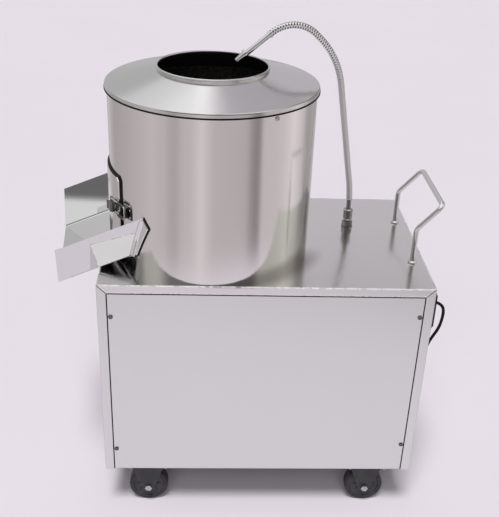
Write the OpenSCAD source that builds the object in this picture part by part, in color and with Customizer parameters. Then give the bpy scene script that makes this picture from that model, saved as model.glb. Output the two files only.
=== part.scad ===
// Drum potato peeler on a wheeled cabinet.
// A belt-driven abrasive disc turns inside an upright drum. Potatoes go in
// through the neck of the conical cover, water comes from the gooseneck, and
// the peeled potatoes leave through a side door onto a flared chute.
// Millimetres, +Z up. Lengths are laid out from the cabinet's front left
// corner on the floor, then moved so the origin is under the machine's middle.

/* [Cabinet] */
// Length of the cabinet, left to right
cab_l = 624; // [600:1:720]
// Depth of the cabinet, front to back
cab_d = 410; // [404:1:480]
// Height of the cabinet box
cab_h = 430; // [415:1:480]
// Thickness of the cabinet sheets
sheet = 1.2; // [0.8:0.1:2]
// Width of the folded edge round the front and back panels
rail_w = 17; // [12:1:24]
// Gap round each inset panel
panel_gap = 1; // [0.5:0.1:2]
// How far the inset panels sit behind the folded edge
panel_set = 0.3; // [0:0.1:0.6]
// Leg length of the frame angles
angle_w = 30; // [25:1:36]
// Thickness of the frame angles
angle_t = 3; // [2:0.5:4]

/* [Casters] */
// Radius of a caster wheel
wheel_r = 40; // [32:1:45]
// Width of a caster tread
wheel_w = 26; // [20:1:28]
// Floor to the top of a caster plate
caster_h = 106; // [98:1:125]
// Caster centre from each end of the cabinet
caster_in_x = 84; // [60:1:120]
// Caster centre from the front and the back
caster_in_y = 38; // [36:1:60]
// Length of a caster plate
caster_plate_l = 82; // [70:1:100]
// Width of a caster plate
caster_plate_w = 62; // [56:1:66]
// Radius of the axle bolts
axle_r = 4; // [3:0.5:6]
// Running clearance on the radius of bores that turn
run_fit = 0.05; // [0.02:0.01:0.09]

/* [Drum] */
// Outer radius of the drum
drum_r = 194.5; // [190:0.5:196]
// Drum axis from the left side of the cabinet
drum_x = 206; // [200:1:230]
// Drum axis from the front of the cabinet
drum_y = 198; // [197:1:210]
// Height of the drum below the cover's lip
drum_h = 317; // [310:1:380]
// Thickness of the drum wall
drum_t = 1.5; // [1:0.1:2]
// Thickness of the abrasive liner
liner_t = 4.2; // [3:0.1:6]

/* [Cover] */
// How far the cover's lip stands out from the drum
lip_out = 4; // [2.5:0.5:6]
// Height of the cover's lip
lip_h = 7.5; // [5:0.5:12]
// Height from the lip's foot to the top of the neck
cover_h = 38.5; // [34:0.5:60]
// Outer radius of the neck
neck_r = 104.5; // [90:0.5:120]
// Height of the neck's upright collar
neck_h = 7; // [5:0.5:12]
// Radius of the rolled bead on the neck
bead_r = 2.3; // [1.5:0.1:3]

/* [Disc and drive] */
// Gap between the disc and the liner
disc_gap = 3.5; // [2:0.5:5]
// Height of the disc's top above the cabinet
disc_z = 37; // [35:1:38]
// Height of the ridges on the disc
ridge_h = 8; // [4:1:9]
// Ridges on the disc
ridge_n = 3; // [2:1:6]
// Radius of the main shaft
shaft_r = 12.5; // [10:0.5:15]
// Outer radius of the driven pulley
pulley_r = 118; // [100:1:120]
// Outer radius of the motor pulley
motor_pulley_r = 38; // [34:1:50]
// Motor axis from the right side of the cabinet
motor_in = 134; // [124:1:144]
// Radius of the motor body
motor_r = 72; // [60:1:76]
// Middle of the belt above the floor
belt_z = 178; // [176:1:182]

/* [Chute and door] */
// Turn of the chute towards the front
chute_yaw = 5.7; // [0:0.1:10]
// Slope of the chute's floor
chute_slope = 20.7; // [15:0.1:24]
// Half the width of the chute's floor
chute_half = 119; // [117:0.5:124]
// How far each wall leans out over its height
chute_lean = 22.5; // [18:0.5:30]
// Upright height of the chute's walls
chute_wall = 77.5; // [60:0.5:90]
// End of the chute from the drum axis
chute_end = 295; // [260:1:320]
// Thickness of the chute's sheet
chute_t = 1.5; // [1:0.1:2]
// Width of the door
door_w = 177; // [165:1:182]
// Height of the door
door_h = 138; // [120:1:160]
// Foot of the door above the cabinet
door_z = 32; // [32:1:36]
// Thickness of the door's rubber seal
seal_t = 3; // [2.4:0.1:4]
// Thickness of the rubber under the chute's flange
pad_t = 2; // [1.5:0.5:3.5]
// Radius of the hinge pin
pin_r = 2.5; // [2:0.1:3]

/* [Water] */
// Hose foot from the drum axis, to the right
hose_out = 286.7; // [274:0.1:303]
// Hose foot from the drum axis, to the back
hose_back = 68.6; // [57:0.1:82]
// Outer diameter of the gooseneck
hose_d = 12.4; // [10:0.1:14]
// Outer radius of the water inlet's G1/2 thread
inlet_r = 10.48; // [8.28:0.01:13.22]
// Depth of the water inlet below the cabinet's top
inlet_down = 33; // [28:1:38]
// Outer radius of the drain pipe
drain_r = 25; // [20:0.5:25]
// How far the drain pipe stands out at the back
drain_out = 40; // [30:1:80]

/* [Handle and switch] */
// Diameter of the handle's rod
rod_d = 10; // [8:0.5:12]
// Handle posts from the right side of the cabinet
post_in = 24.5; // [18:0.5:34]
// Front post from the front of the cabinet
post_y = 108; // [80:1:130]
// Distance between the two posts
post_gap = 182.5; // [150:0.5:220]
// Height of the bend in the posts above the cabinet
post_h = 70; // [50:1:110]
// How far the grip stands out past the posts
grip_out = 45; // [30:1:60]
// How far the grip rises above the bend
grip_up = 50; // [30:1:70]
// Size of the switch box: out, along, up
box_size = [31, 50, 75]; // [20:1:100]
// Switch box from the front of the cabinet
box_y = 85; // [82:1:150]
// Foot of the switch box below the cabinet's top
box_down = 137; // [110:1:160]
// Radius of the push buttons
button_r = 10; // [8:0.5:11]
// Travel of the push buttons
button_travel = 3; // [2:0.5:4]
// Depth of the cord's gland below the cabinet's top
gland_down = 62; // [55:1:75]
// Diameter of the power cord
cord_d = 6; // [5.4:0.1:6.4]

/* [Hidden] */
$fn = 96;

// Levels
z0 = caster_h;
z1 = z0 + cab_h;
lip_z = z1 + drum_h;

// Motor axis, and its distance from the drum axis
motor_x = cab_l - motor_in;
belt_c = motor_x - drum_x;

// Chute, in its own frame: X out of the drum, Y towards the front
floor_drop = tan(chute_slope);
floor_ref = 150;
floor_z = z1 + 32;
wall_h = chute_wall * cos(chute_slope);
door_r = drum_r + 0.3 + seal_t;
door_t = 1.5;
door_top = z1 + door_z + door_h;
door_edge = asin(door_w / 2 / (door_r + door_t));
hinge_a = -(door_edge + 2.7);
hinge_r = door_r + door_t + 4;

// Latch, on the door beside its free edge
latch_a = door_edge - 6.3;
latch_z = z1 + 110;
latch_r = door_r + door_t;
pivot = [latch_r + 7.2, 9];
bail_pivot = [latch_r + 4.4, -3];
bail_end = [latch_r - 1.5, 48];
hook_a = latch_a + atan2(bail_end[1], bail_end[0]);
hook_tip = norm(bail_end) - 1.25 - 0.5;

// Hose foot, handle posts, water inlet and switch box
hose_x = drum_x + hose_out;
hose_y = drum_y + hose_back;
post_x = cab_l - post_in;
inlet_z = cab_h - inlet_down;
box_z = cab_h - box_down;

// Origin under the middle of the machine's box
x_low = drum_x - chute_end * cos(chute_yaw)
      - (chute_half + chute_lean + chute_t / cos(atan2(chute_lean, wall_h))) * sin(chute_yaw);
x_high = post_x + grip_out + rod_d / 2;
screw_head = 2.4;
org = [(x_low + x_high) / 2, (cab_d + drain_out - screw_head + panel_set) / 2, 0];

// ---------- helpers ----------
function unit(v) = v / norm(v);
function turn_of(p, i) = acos(unit(p[i] - p[i - 1]) * unit(p[i + 1] - p[i]));
function reach(p, r, i) = (i <= 0 || i >= len(p) - 1) ? 0 : r[i - 1] * tan(turn_of(p, i) / 2);

module placed() {
    translate(-org) children();
}

// Turns children so that their Z lies along v
module along(v) {
    z = unit(v);
    a = abs(z[2]) > 0.9 ? [1, 0, 0] : [0, 0, 1];
    x = unit(cross(a, z));
    y = cross(z, x);
    multmatrix([[x[0], y[0], z[0], 0], [x[1], y[1], z[1], 0], [x[2], y[2], z[2], 0], [0, 0, 0, 1]])
        children();
}

// A round rod along points p, with bend radius r[i] at each inner point.
// The bends stand 0.02 mm proud and the straights run a little into them.
module bent_rod(p, r, d) {
    for (i = [0:len(p) - 2]) {
        u = unit(p[i + 1] - p[i]);
        a = p[i] + u * (reach(p, r, i) - (i > 0 ? 0.1 : 0));
        b = p[i + 1] - u * (reach(p, r, i + 1) - (i < len(p) - 2 ? 0.1 : 0));
        translate(a) along(u) cylinder(h = norm(b - a), d = d);
    }
    for (i = [1:len(p) - 2]) {
        u = unit(p[i] - p[i - 1]);
        w = unit(p[i + 1] - p[i]);
        n = unit(w - u * (u * w));
        c = p[i] - u * reach(p, r, i) + n * r[i - 1];
        z = cross(-n, u);
        multmatrix([[-n[0], u[0], z[0], c[0]], [-n[1], u[1], z[1], c[1]],
                    [-n[2], u[2], z[2], c[2]], [0, 0, 0, 1]])
            rotate_extrude(angle = turn_of(p, i)) translate([r[i - 1], 0]) circle(d = d + 0.04, $fn = 32);
    }
}

module ring(r_out, r_in, h) {
    difference() {
        cylinder(h = h, r = r_out);
        translate([0, 0, -1]) cylinder(h = h + 2, r = r_in);
    }
}

module hex(af, h) {
    cylinder(h = h, r = af / 2 / cos(30), $fn = 6);
}

module pan_screw(r = 4.6, h = screw_head, shank = 9) {
    difference() {
        union() {
            cylinder(h = h * 0.45, r = r);
            translate([0, 0, h * 0.45]) cylinder(h = h * 0.55, r1 = r, r2 = r * 0.66);
            translate([0, 0, -shank]) cylinder(h = shank, r = 2, $fn = 24);
        }
        for (a = [0, 90]) rotate([0, 0, a]) translate([-2.2, -0.5, h - 1]) cube([4.4, 1, 2]);
    }
}

// ---------- cabinet ----------
module cab_plate(x, y, z, size) {
    translate([x, y, z]) cube(size);
}

module angle_post() {
    cube([angle_w, angle_t, cab_h - sheet]);
    cube([angle_t, angle_w, cab_h - sheet]);
}

module rail_x(z, w, up) {
    len_x = cab_l - 2 * sheet - 2 * angle_w;
    cab_plate(sheet + angle_w, frame_y, z, [len_x, angle_t, w]);
    cab_plate(sheet + angle_w, frame_y, up ? z + w - angle_t : z, [len_x, w, angle_t]);
}

frame_y = panel_set + sheet;
bar_x = [motor_x - 90, motor_x + 70];
bar_w = 30;
bar_t = 5;
rail_z = belt_z + 22;
rail_leg = 25;

module base_frame() placed() color("dimgray") {
    for (mx = [0, 1], my = [0, 1])
        translate([mx * cab_l, my * cab_d, 0]) mirror([mx, 0, 0]) mirror([0, my, 0]) {
            translate([sheet, frame_y, z0]) angle_post();
            cab_plate(sheet, frame_y, z0, [caster_in_x + caster_plate_l / 2 + 5,
                caster_in_y + caster_plate_w / 2 + 5, angle_t]);
        }
    for (my = [0, 1])
        translate([0, my * cab_d, 0]) mirror([0, my, 0]) {
            rail_x(z0, angle_w, false);
            rail_x(rail_z, rail_leg, true);
        }
    for (mx = [0, 1])
        translate([mx * cab_l, 0, 0]) mirror([mx, 0, 0]) {
            cab_plate(sheet, frame_y + angle_w, z0,
                [angle_t, cab_d - 2 * frame_y - 2 * angle_w, angle_w]);
            cab_plate(sheet, frame_y + angle_w, z0,
                [angle_w, cab_d - 2 * frame_y - 2 * angle_w, angle_t]);
        }
    for (x = bar_x)
        cab_plate(x, frame_y + angle_t, rail_z + rail_leg,
            [bar_w, cab_d - 2 * frame_y - 2 * angle_t, bar_t]);
}

// Folded edge with mitred ends, drawn on the face at y = 0
module top_fold() {
    rotate([90, 0, 0]) translate([0, 0, -sheet]) linear_extrude(sheet)
        polygon([[sheet, z1 - sheet], [rail_w, z1 - rail_w],
                 [cab_l - rail_w, z1 - rail_w], [cab_l - sheet, z1 - sheet]]);
}

module side_fold() {
    rotate([90, 0, 0]) translate([0, 0, -sheet]) linear_extrude(sheet)
        polygon([[sheet, z0], [rail_w, z0], [rail_w, z1 - rail_w], [sheet, z1 - sheet]]);
}

module top_plate() placed() color("gainsboro") difference() {
    union() {
        cab_plate(0, 0, z1 - sheet, [cab_l, cab_d, sheet]);
        top_fold();
        translate([0, cab_d, 0]) mirror([0, 1, 0]) top_fold();
    }
    translate([drum_x, drum_y, z1 - 10]) cylinder(h = 20, r = boss_r + 8);
    translate([drum_x, drum_y + drain_at, z1 - 10]) cylinder(h = 20, r = drain_r + 1);
    translate([hose_x, hose_y, z1 - 10]) cylinder(h = 20, r = 7);
}

module side_wall() {
    cab_plate(0, 0, z0, [sheet, cab_d, cab_h - sheet]);
    side_fold();
    translate([0, cab_d, 0]) mirror([0, 1, 0]) side_fold();
}

module left_side() placed() color("gainsboro") side_wall();

module right_side() placed() color("gainsboro") difference() {
    translate([cab_l, 0, 0]) mirror([1, 0, 0]) side_wall();
    translate([cab_l - 5, gland_at[1], gland_at[2]]) rotate([0, 90, 0]) cylinder(h = 10, r = 8);
    translate([cab_l - 5, box_y + box_size[1] / 2, z0 + box_z + box_size[2] / 2])
        rotate([0, 90, 0]) cylinder(h = 10, r = 8);
}

panel_l = cab_l - 2 * rail_w - 2 * panel_gap;
panel_h = cab_h - rail_w - panel_gap - 1;

module inset_panel() {
    cab_plate(rail_w + panel_gap, panel_set, z0 + 1, [panel_l, sheet, panel_h]);
}

screw_x = rail_w + panel_gap + 6;
// Height of each screw above the cabinet's bottom edge: left low, left high, right low, right high
screw_up = [52, cab_h - 67, 66, cab_h - 61];

module front_panel() placed() color("gainsboro") difference() {
    inset_panel();
    for (i = [0:3]) screw_at(i, cab_l) translate([0, 0, -5]) cylinder(h = 10, r = 2.2);
}

module screw_at(i, l) {
    translate([i < 2 ? screw_x : l - screw_x, panel_set, z0 + screw_up[i]]) rotate([90, 0, 0]) children();
}

module back_panel() placed() color("gainsboro") difference() {
    translate([0, cab_d, 0]) mirror([0, 1, 0]) inset_panel();
    translate([drum_x, cab_d - 10, drain_z]) rotate([-90, 0, 0]) cylinder(h = 20, r = drain_r + 1);
    translate([hose_x, cab_d - 10, z0 + inlet_z]) rotate([-90, 0, 0]) cylinder(h = 20, r = inlet_r + 0.3);
    for (i = [0:5])
        cab_plate(motor_x - 45, cab_d - 10, z0 + 190 + 16 * i, [90, 20, 5]);
    translate([0, cab_d, 0]) mirror([0, 1, 0])
        for (i = [0:3]) screw_at(i, cab_l) translate([0, 0, -5]) cylinder(h = 10, r = 2.2);
}

module panel_screws() placed() color("silver") {
    for (i = [0:3]) screw_at(i, cab_l) pan_screw(shank = sheet);
    translate([0, cab_d, 0]) mirror([0, 1, 0])
        for (i = [0:3]) screw_at(i, cab_l) pan_screw(shank = sheet);
}

// ---------- casters ----------
fork_t = 2.5;
fork_in = wheel_w / 2 + 4;
fork_web = caster_h - 3.5 - 2.5;

module fork_cheek() {
    p = [caster_plate_l / 2 - 6, fork_web - wheel_r + 1];
    r = 11;
    b = atan2(p[1], p[0]) - acos(r / norm(p));
    linear_extrude(fork_t) difference() {
        union() {
            polygon([[-p[0], p[1]], [p[0], p[1]], [r * cos(b), r * sin(b)], [-r * cos(b), r * sin(b)]]);
            circle(r = r);
        }
        circle(r = axle_r);
    }
}

module fork() {
    translate([-caster_plate_l / 2, -caster_plate_w / 2, caster_h - 3.5])
        cube([caster_plate_l, caster_plate_w, 3.5]);
    translate([-caster_plate_l / 2 + 6, -fork_in - fork_t, fork_web])
        cube([caster_plate_l - 12, 2 * (fork_in + fork_t), 2.5]);
    for (s = [-1, 1])
        translate([0, s * (fork_in + fork_t / 2) + fork_t / 2, wheel_r]) rotate([90, 0, 0]) fork_cheek();
}

module wheel() {
    e = 4;
    translate([0, 0, wheel_r]) rotate([90, 0, 0]) rotate_extrude()
        polygon(concat(
            [[axle_r + run_fit, -fork_in + 0.5], [12, -fork_in + 0.5], [12, -wheel_w / 2 + 3],
             [wheel_r - 9, -wheel_w / 2 + 3], [wheel_r - 8, -wheel_w / 2]],
            [for (a = [0:30:90]) [wheel_r - e + e * sin(a), -wheel_w / 2 + e - e * cos(a)]],
            [for (a = [90:-30:0]) [wheel_r - e + e * sin(a), wheel_w / 2 - e + e * cos(a)]],
            [[wheel_r - 8, wheel_w / 2], [wheel_r - 9, wheel_w / 2 - 3],
             [12, wheel_w / 2 - 3], [12, fork_in - 0.5], [axle_r + run_fit, fork_in - 0.5]]));
}

module axle_bolt() {
    h = 2 * (fork_in + fork_t);
    translate([0, h / 2, wheel_r]) rotate([90, 0, 0]) {
        cylinder(h = h, r = axle_r);
        translate([0, 0, h]) hex(13, 5.3);
        translate([0, 0, -6.5]) hex(13, 6.5);
    }
}

module at_caster(mx, my) {
    translate([mx ? cab_l - caster_in_x : caster_in_x, my ? cab_d - caster_in_y : caster_in_y, 0])
        mirror([0, my, 0]) children();
}

module fork_fl() placed() color("dimgray") at_caster(0, 0) fork();
module fork_fr() placed() color("dimgray") at_caster(1, 0) fork();
module fork_bl() placed() color("dimgray") at_caster(0, 1) fork();
module fork_br() placed() color("dimgray") at_caster(1, 1) fork();
module wheel_fl() placed() color("black") at_caster(0, 0) wheel();
module wheel_fr() placed() color("black") at_caster(1, 0) wheel();
module wheel_bl() placed() color("black") at_caster(0, 1) wheel();
module wheel_br() placed() color("black") at_caster(1, 1) wheel();
module axle_bolts() placed() color("silver")
    for (mx = [0, 1], my = [0, 1]) at_caster(mx, my) axle_bolt();

// ---------- drum ----------
boss_r = 28;
drain_at = 155;
drain_z = z0 + 59;
inner_r = drum_r - drum_t - 0.2 - liner_t;

module at_drum(z = 0) {
    translate([drum_x, drum_y, z]) children();
}

// The chute's own frame
module chute_frame() {
    at_drum() rotate([0, 0, 180 + chute_yaw]) children();
}

// A prism out of the drum along the chute, from an outline of [across, up]
module out_of_drum(h = 260) {
    multmatrix([[0, 0, 1, 0], [1, 0, 0, 0], [0, 1, 0, 0], [0, 0, 0, 1]])
        linear_extrude(h) children();
}

module cut_corner_plate(half, low, high, c) {
    polygon([[-half + c, low], [half - c, low], [half, low + c], [half, high - c],
             [half - c, high], [-half + c, high], [-half, high - c], [-half, low + c]]);
}

doorway = [door_w / 2 - 16, z1 + door_z + 8, door_top - 8];

module drum_shell() placed() color("lightgray") difference() {
    at_drum(z1) ring(drum_r, drum_r - drum_t, drum_h + 5);
    chute_frame() out_of_drum() cut_corner_plate(doorway[0], doorway[1], doorway[2], 8);
    for (a = cover_screw_a) at_drum(lip_z - 10) rotate([0, 0, a]) rotate([0, 90, 0])
        translate([0, 0, drum_r - 10]) cylinder(h = 20, r = 2.2);
}

module drum_liner() placed() color("darkgray") difference() {
    at_drum(z1 + 26) ring(drum_r - drum_t - 0.2, inner_r, drum_h - 44);
    chute_frame() out_of_drum() cut_corner_plate(doorway[0] + 2, doorway[1] - 2, doorway[2] + 2, 8);
}

module drum_floor() placed() color("silver") at_drum(z1) difference() {
    union() {
        cylinder(h = 3, r = drum_r - drum_t - 0.1);
        cylinder(h = 25, r = boss_r);
        ring(drum_r - drum_t - 0.1, drum_r - drum_t - 1.6, 20);
    }
    translate([0, 0, -1]) cylinder(h = 40, r = boss_r - 4);
    translate([0, drain_at, -1]) cylinder(h = 10, r = drain_r);
}

// ---------- cover ----------
cover_screw_a = [-55.5, 64.5, 184.5];
cone_top = cover_h - neck_h;

module hopper_cover() placed() color("silver") at_drum(lip_z) {
    t = 1.5;
    r = drum_r + lip_out;
    slope = (cone_top - lip_h) / (r - neck_r);
    rotate_extrude()
        polygon([[r, 0], [r, lip_h - 2], [r - 0.6, lip_h - 0.6], [r - 2, lip_h + 1.4 * slope],
                 [neck_r, cone_top], [neck_r, cover_h - bead_r], [neck_r - t, cover_h - bead_r],
                 [neck_r - t, cone_top - t], [r - 3, lip_h - t], [r - t, lip_h - 3], [r - t, 0]]);
    translate([0, 0, cover_h - bead_r]) rotate_extrude() translate([neck_r - bead_r + 1, 0])
        circle(r = bead_r, $fn = 24);
    rotate_extrude()
        polygon([[drum_r - drum_t - 0.3, -15], [drum_r - drum_t - 0.3, lip_h],
                 [drum_r - drum_t - 1.8, lip_h], [drum_r - drum_t - 1.8, -15]]);
}

module cover_screws() placed() color("silver")
    for (a = cover_screw_a) at_drum(lip_z - 10) rotate([0, 0, a]) translate([drum_r, 0, 0])
        rotate([0, 90, 0]) pan_screw(r = 4.4, shank = drum_t);

// ---------- disc and drive ----------
disc_r = inner_r - disc_gap;

module peeling_disc() placed() color("darkgray") at_drum(z1) difference() {
    union() {
        translate([0, 0, disc_z - 5]) cylinder(h = 5, r = disc_r);
        intersection() {
            translate([0, 0, disc_z - 2]) cylinder(h = 30, r = disc_r - 4);
            for (i = [0:ridge_n - 1]) rotate([0, 0, i * 360 / ridge_n])
                translate([46, 0, disc_z - 34 + ridge_h]) rotate([0, 90, 0]) cylinder(h = disc_r, r = 34);
        }
        translate([0, 0, 9]) cylinder(h = disc_z - 10, r = 20);
        translate([0, 0, 12]) ring(boss_r + 6, boss_r + 3.5, disc_z - 13);
        for (i = [0:3]) rotate([0, 0, 45 + i * 90])
            translate([boss_r + 5, -2, 9]) cube([disc_r - boss_r - 12, 4, disc_z - 10]);
        translate([0, 0, disc_z - 1]) cylinder(h = 5, r1 = 40, r2 = 34);
    }
    translate([0, 0, -1]) cylinder(h = 80, r = shaft_r);
}

module disc_cap() placed() color("silver") at_drum(z1 + disc_z + 4) difference() {
    intersection() {
        cylinder(h = 20, r = 22);
        translate([0, 0, -12]) sphere(r = 28);
    }
    translate([0, 0, -1]) cylinder(h = 7, r = shaft_r);
}

module main_shaft() placed() color("silver")
    at_drum(belt_z - 26) cylinder(h = z1 + disc_z + 9 - belt_z + 26, r = shaft_r);

// Half width of the belt or its groove, s below the outer rim
function belt_half(s) = 6.45 - 0.3 * s;

module groove_profile(r, hub, hub_h, bore) {
    difference() {
        polygon([[bore, -hub_h], [hub, -hub_h], [hub, -3], [r - 22, -3], [r - 22, -10],
                 [r, -10], [r, 10], [r - 22, 10], [r - 22, 3], [hub, 3], [hub, hub_h], [bore, hub_h]]);
        polygon([[r + 1, belt_half(-1) + 0.3], [r - 11, belt_half(11) + 0.3],
                 [r - 11, -belt_half(11) - 0.3], [r + 1, -belt_half(-1) - 0.3]]);
    }
}

module driven_pulley() placed() color("dimgray") at_drum(belt_z) difference() {
    rotate_extrude() groove_profile(pulley_r, 28, 18, shaft_r);
    for (i = [0:4]) rotate([0, 0, i * 72]) translate([(pulley_r + 6) / 2, 0, -5])
        cylinder(h = 10, r = (pulley_r - 60) / 3.4);
}

module motor_pulley() placed() color("dimgray")
    translate([motor_x, drum_y, belt_z]) rotate_extrude() difference() {
        translate([9.5, -14]) square([motor_pulley_r - 9.5, 24]);
        polygon([[motor_pulley_r + 1, belt_half(-1) + 0.3], [motor_pulley_r - 11, belt_half(11) + 0.3],
                 [motor_pulley_r - 11, -belt_half(11) - 0.3], [motor_pulley_r + 1, -belt_half(-1) - 0.3]]);
    }

// The belt's section on a pulley of radius r, grown by g
module belt_profile(r, g = 0) {
    translate([r - 0.5, 0]) polygon([[g, belt_half(0.5) + g], [-8 - g, belt_half(8.5) + g],
        [-8 - g, -belt_half(8.5) - g], [g, -belt_half(0.5) - g]]);
}

// The arcs stand 0.02 mm proud of the straights, which run a little into them
module drive_belt() placed() color("black") at_drum(belt_z) {
    wrap = acos((pulley_r - motor_pulley_r) / belt_c);
    rotate([0, 0, wrap]) rotate_extrude(angle = 360 - 2 * wrap) belt_profile(pulley_r, 0.02);
    translate([belt_c, 0, 0]) rotate([0, 0, -wrap]) rotate_extrude(angle = 2 * wrap)
        belt_profile(motor_pulley_r, 0.02);
    for (m = [0, 1]) mirror([0, m, 0])
        multmatrix([[cos(wrap), 0, sin(wrap), -0.1 * sin(wrap)], [sin(wrap), 0, -cos(wrap), 0.1 * cos(wrap)],
                    [0, 1, 0, 0], [0, 0, 0, 1]])
            linear_extrude(belt_c * sin(wrap) + 0.2) belt_profile(pulley_r);
}

module bearing_housing() placed() color("dimgray") at_drum(z1 - sheet) rotate([180, 0, 0]) difference() {
    union() {
        cylinder(h = 10, r = 75);
        cylinder(h = 95, r = 36);
        for (i = [0:5]) rotate([0, 0, i * 60]) translate([30, -3, 9])
            rotate([90, 0, 0]) translate([0, 0, -6]) linear_extrude(6) polygon([[0, 0], [40, 0], [0, 55]]);
    }
    translate([0, 0, -1]) cylinder(h = 100, r = 21);
    translate([0, 0, -1]) cylinder(h = 16, r = 26);
    translate([0, 0, 80]) cylinder(h = 16, r = 26);
    for (i = [0:5]) rotate([0, 0, 30 + i * 60]) translate([62, 0, -1]) cylinder(h = 12, r = 4.5);
}

module bearings() placed() color("silver")
    for (z = [15, 95]) at_drum(z1 - sheet - z) ring(26, shaft_r + run_fit, 15);

// ---------- motor ----------
plate_z = rail_z + rail_leg + bar_t;
plate_t = 6;
motor_z = plate_z + plate_t;
motor_h = z1 - 100 - motor_z;

module at_motor(z) {
    translate([motor_x, drum_y, z]) children();
}

module motor_body() placed() color("steelblue") at_motor(motor_z) difference() {
    union() {
        cylinder(h = 12, r = motor_r + 26);
        translate([0, 0, 11]) cylinder(h = 15, r1 = motor_r - 8, r2 = motor_r);
        translate([0, 0, 25]) cylinder(h = motor_h - 25, r = motor_r - 5);
        for (i = [0:23]) rotate([0, 0, i * 15]) translate([motor_r - 8, -1.5, 25])
            cube([8, 3, motor_h - 40]);
        translate([-32, -motor_r - 28, 70]) cube([64, 40, 70]);
    }
    translate([0, 0, -1]) cylinder(h = 41, r = 9.5 + run_fit);
    for (i = [0:3]) rotate([0, 0, 45 + i * 90]) translate([motor_r + 16, 0, -1]) cylinder(h = 20, r = 5);
}

module motor_fan_cover() placed() color("dimgray") at_motor(motor_z + motor_h) difference() {
    cylinder(h = 46, r = motor_r);
    translate([0, 0, -1]) cylinder(h = 45, r = motor_r - 2);
    for (k = [0:2], i = [0:11 + 4 * k]) rotate([0, 0, i * 360 / (12 + 4 * k)])
        translate([20 + 17 * k, 0, 40]) cylinder(h = 10, r = 3.2, $fn = 16);
}

module motor_plate() placed() color("dimgray") at_motor(plate_z) difference() {
    translate([-105, -105, 0]) cube([210, 210, plate_t]);
    translate([0, 0, -1]) cylinder(h = 10, r = 45);
    for (i = [0:3]) rotate([0, 0, 45 + i * 90]) translate([motor_r + 16, 0, -1]) cylinder(h = 20, r = 5);
}

module motor_shaft() placed() color("silver")
    at_motor(belt_z - 18) cylinder(h = motor_z + 38 - belt_z + 18, r = 9.5);

// ---------- chute ----------
// Lays an outline of [across, up from the floor] along the sloping floor
module along_floor(from, to) {
    c = cos(chute_slope);
    s = sin(chute_slope);
    translate([floor_ref, 0, floor_z])
        multmatrix([[0, s, c, from * c], [1, 0, 0, 0], [0, c, -s, -from * s], [0, 0, 0, 1]])
            linear_extrude(to - from) children();
}

lean_a = atan2(chute_lean, wall_h);

// Section of the trough: a floor, two rounded folds and two leaning walls
chute_flat = chute_half - 4.5 * tan((90 - lean_a) / 2);

function fold_arc(r) = [for (i = [0:3]) let (a = i * (90 - lean_a) / 3)
    [chute_flat + r * sin(a), 4.5 - r * cos(a)]];

module trough_section() {
    top_in = [chute_half + chute_lean, wall_h];
    top_out = top_in + chute_t * [cos(lean_a), -sin(lean_a)];
    inner = concat(fold_arc(4.5), [top_in]);
    outer = concat(fold_arc(4.5 + chute_t), [top_out]);
    n = len(inner);
    polygon(concat(inner, [for (i = [n - 1:-1:0]) outer[i]],
        [for (i = [0:n - 1]) [-outer[i][0], outer[i][1]]],
        [for (i = [n - 1:-1:0]) [-inner[i][0], inner[i][1]]]));
}

// The open space above the floor and between the walls
module trough_space() {
    k = 3;
    top = chute_half + k * chute_lean;
    polygon([[-chute_half + 2, 0], [chute_half - 2, 0], [top, k * wall_h], [-top, k * wall_h]]);
}

// Flange that holds the chute on the drum, grown by g
fold_z = floor_z - (sqrt(pow(drum_r, 2) - pow(chute_half, 2)) - floor_ref) * floor_drop;

function flange_half(g) = [
    [chute_half - 24, z1 + 4 - g / 2], [chute_half - 8 + g, fold_z - 12 - g],
    [chute_half + 10 + g, fold_z + 3 - g / 2],
    [chute_half + chute_lean + 8.5 + g, fold_z + chute_wall - 12 + g / 2],
    [chute_half + chute_lean + g / 2, fold_z + chute_wall + 5 + g]];

module flange_outline(g) {
    h = flange_half(g);
    polygon(concat(h, [for (i = [len(h) - 1:-1:0]) [-h[i][0], h[i][1]]]));
}

module flange(r_in, r_out, g) {
    difference() {
        intersection() {
            translate([0, 0, z1 + 1]) ring(r_out, r_in, 200);
            out_of_drum() flange_outline(g);
        }
        along_floor(-90, 120) trough_space();
    }
}

module chute() placed() color("silver") chute_frame() {
    difference() {
        along_floor(-60, 220) trough_section();
        translate([0, 0, z1 - 60]) cylinder(h = 300, r = drum_r + pad_t + 0.5);
        translate([chute_end, -200, z1 - 120]) cube([200, 400, 400]);
    }
    flange(drum_r + pad_t, drum_r + pad_t + chute_t, 0);
}

module chute_pad() placed() color("black") chute_frame() flange(drum_r, drum_r + pad_t, 1);

// ---------- door ----------
module door() placed() color("silver") chute_frame() intersection() {
    translate([0, 0, z1]) ring(door_r + door_t, door_r, 250);
    out_of_drum() cut_corner_plate(door_w / 2, z1 + door_z, door_top, 6);
}

module door_seal() placed() color("black") chute_frame() intersection() {
    translate([0, 0, z1]) ring(door_r, drum_r + 0.3, 250);
    out_of_drum() difference() {
        cut_corner_plate(door_w / 2 + 1.5, z1 + door_z - 2, door_top + 2, 6.5);
        cut_corner_plate(doorway[0] + 1, doorway[1] + 1, doorway[2] - 1, 8);
    }
}

hinge_z = z1 + door_z + 24;
knuckle_r = pin_r + 2;
knuckle_h = 34;

module at_hinge(z) {
    rotate([0, 0, hinge_a]) translate([hinge_r, 0, z]) children();
}

// Part of a ring between two angles, as a plate bent round the drum
module bent_plate(r_in, r_out, a1, a2, z, h) {
    translate([0, 0, z]) rotate([0, 0, a1])
        rotate_extrude(angle = a2 - a1) translate([r_in, 0]) square([r_out - r_in, h]);
}

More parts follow.
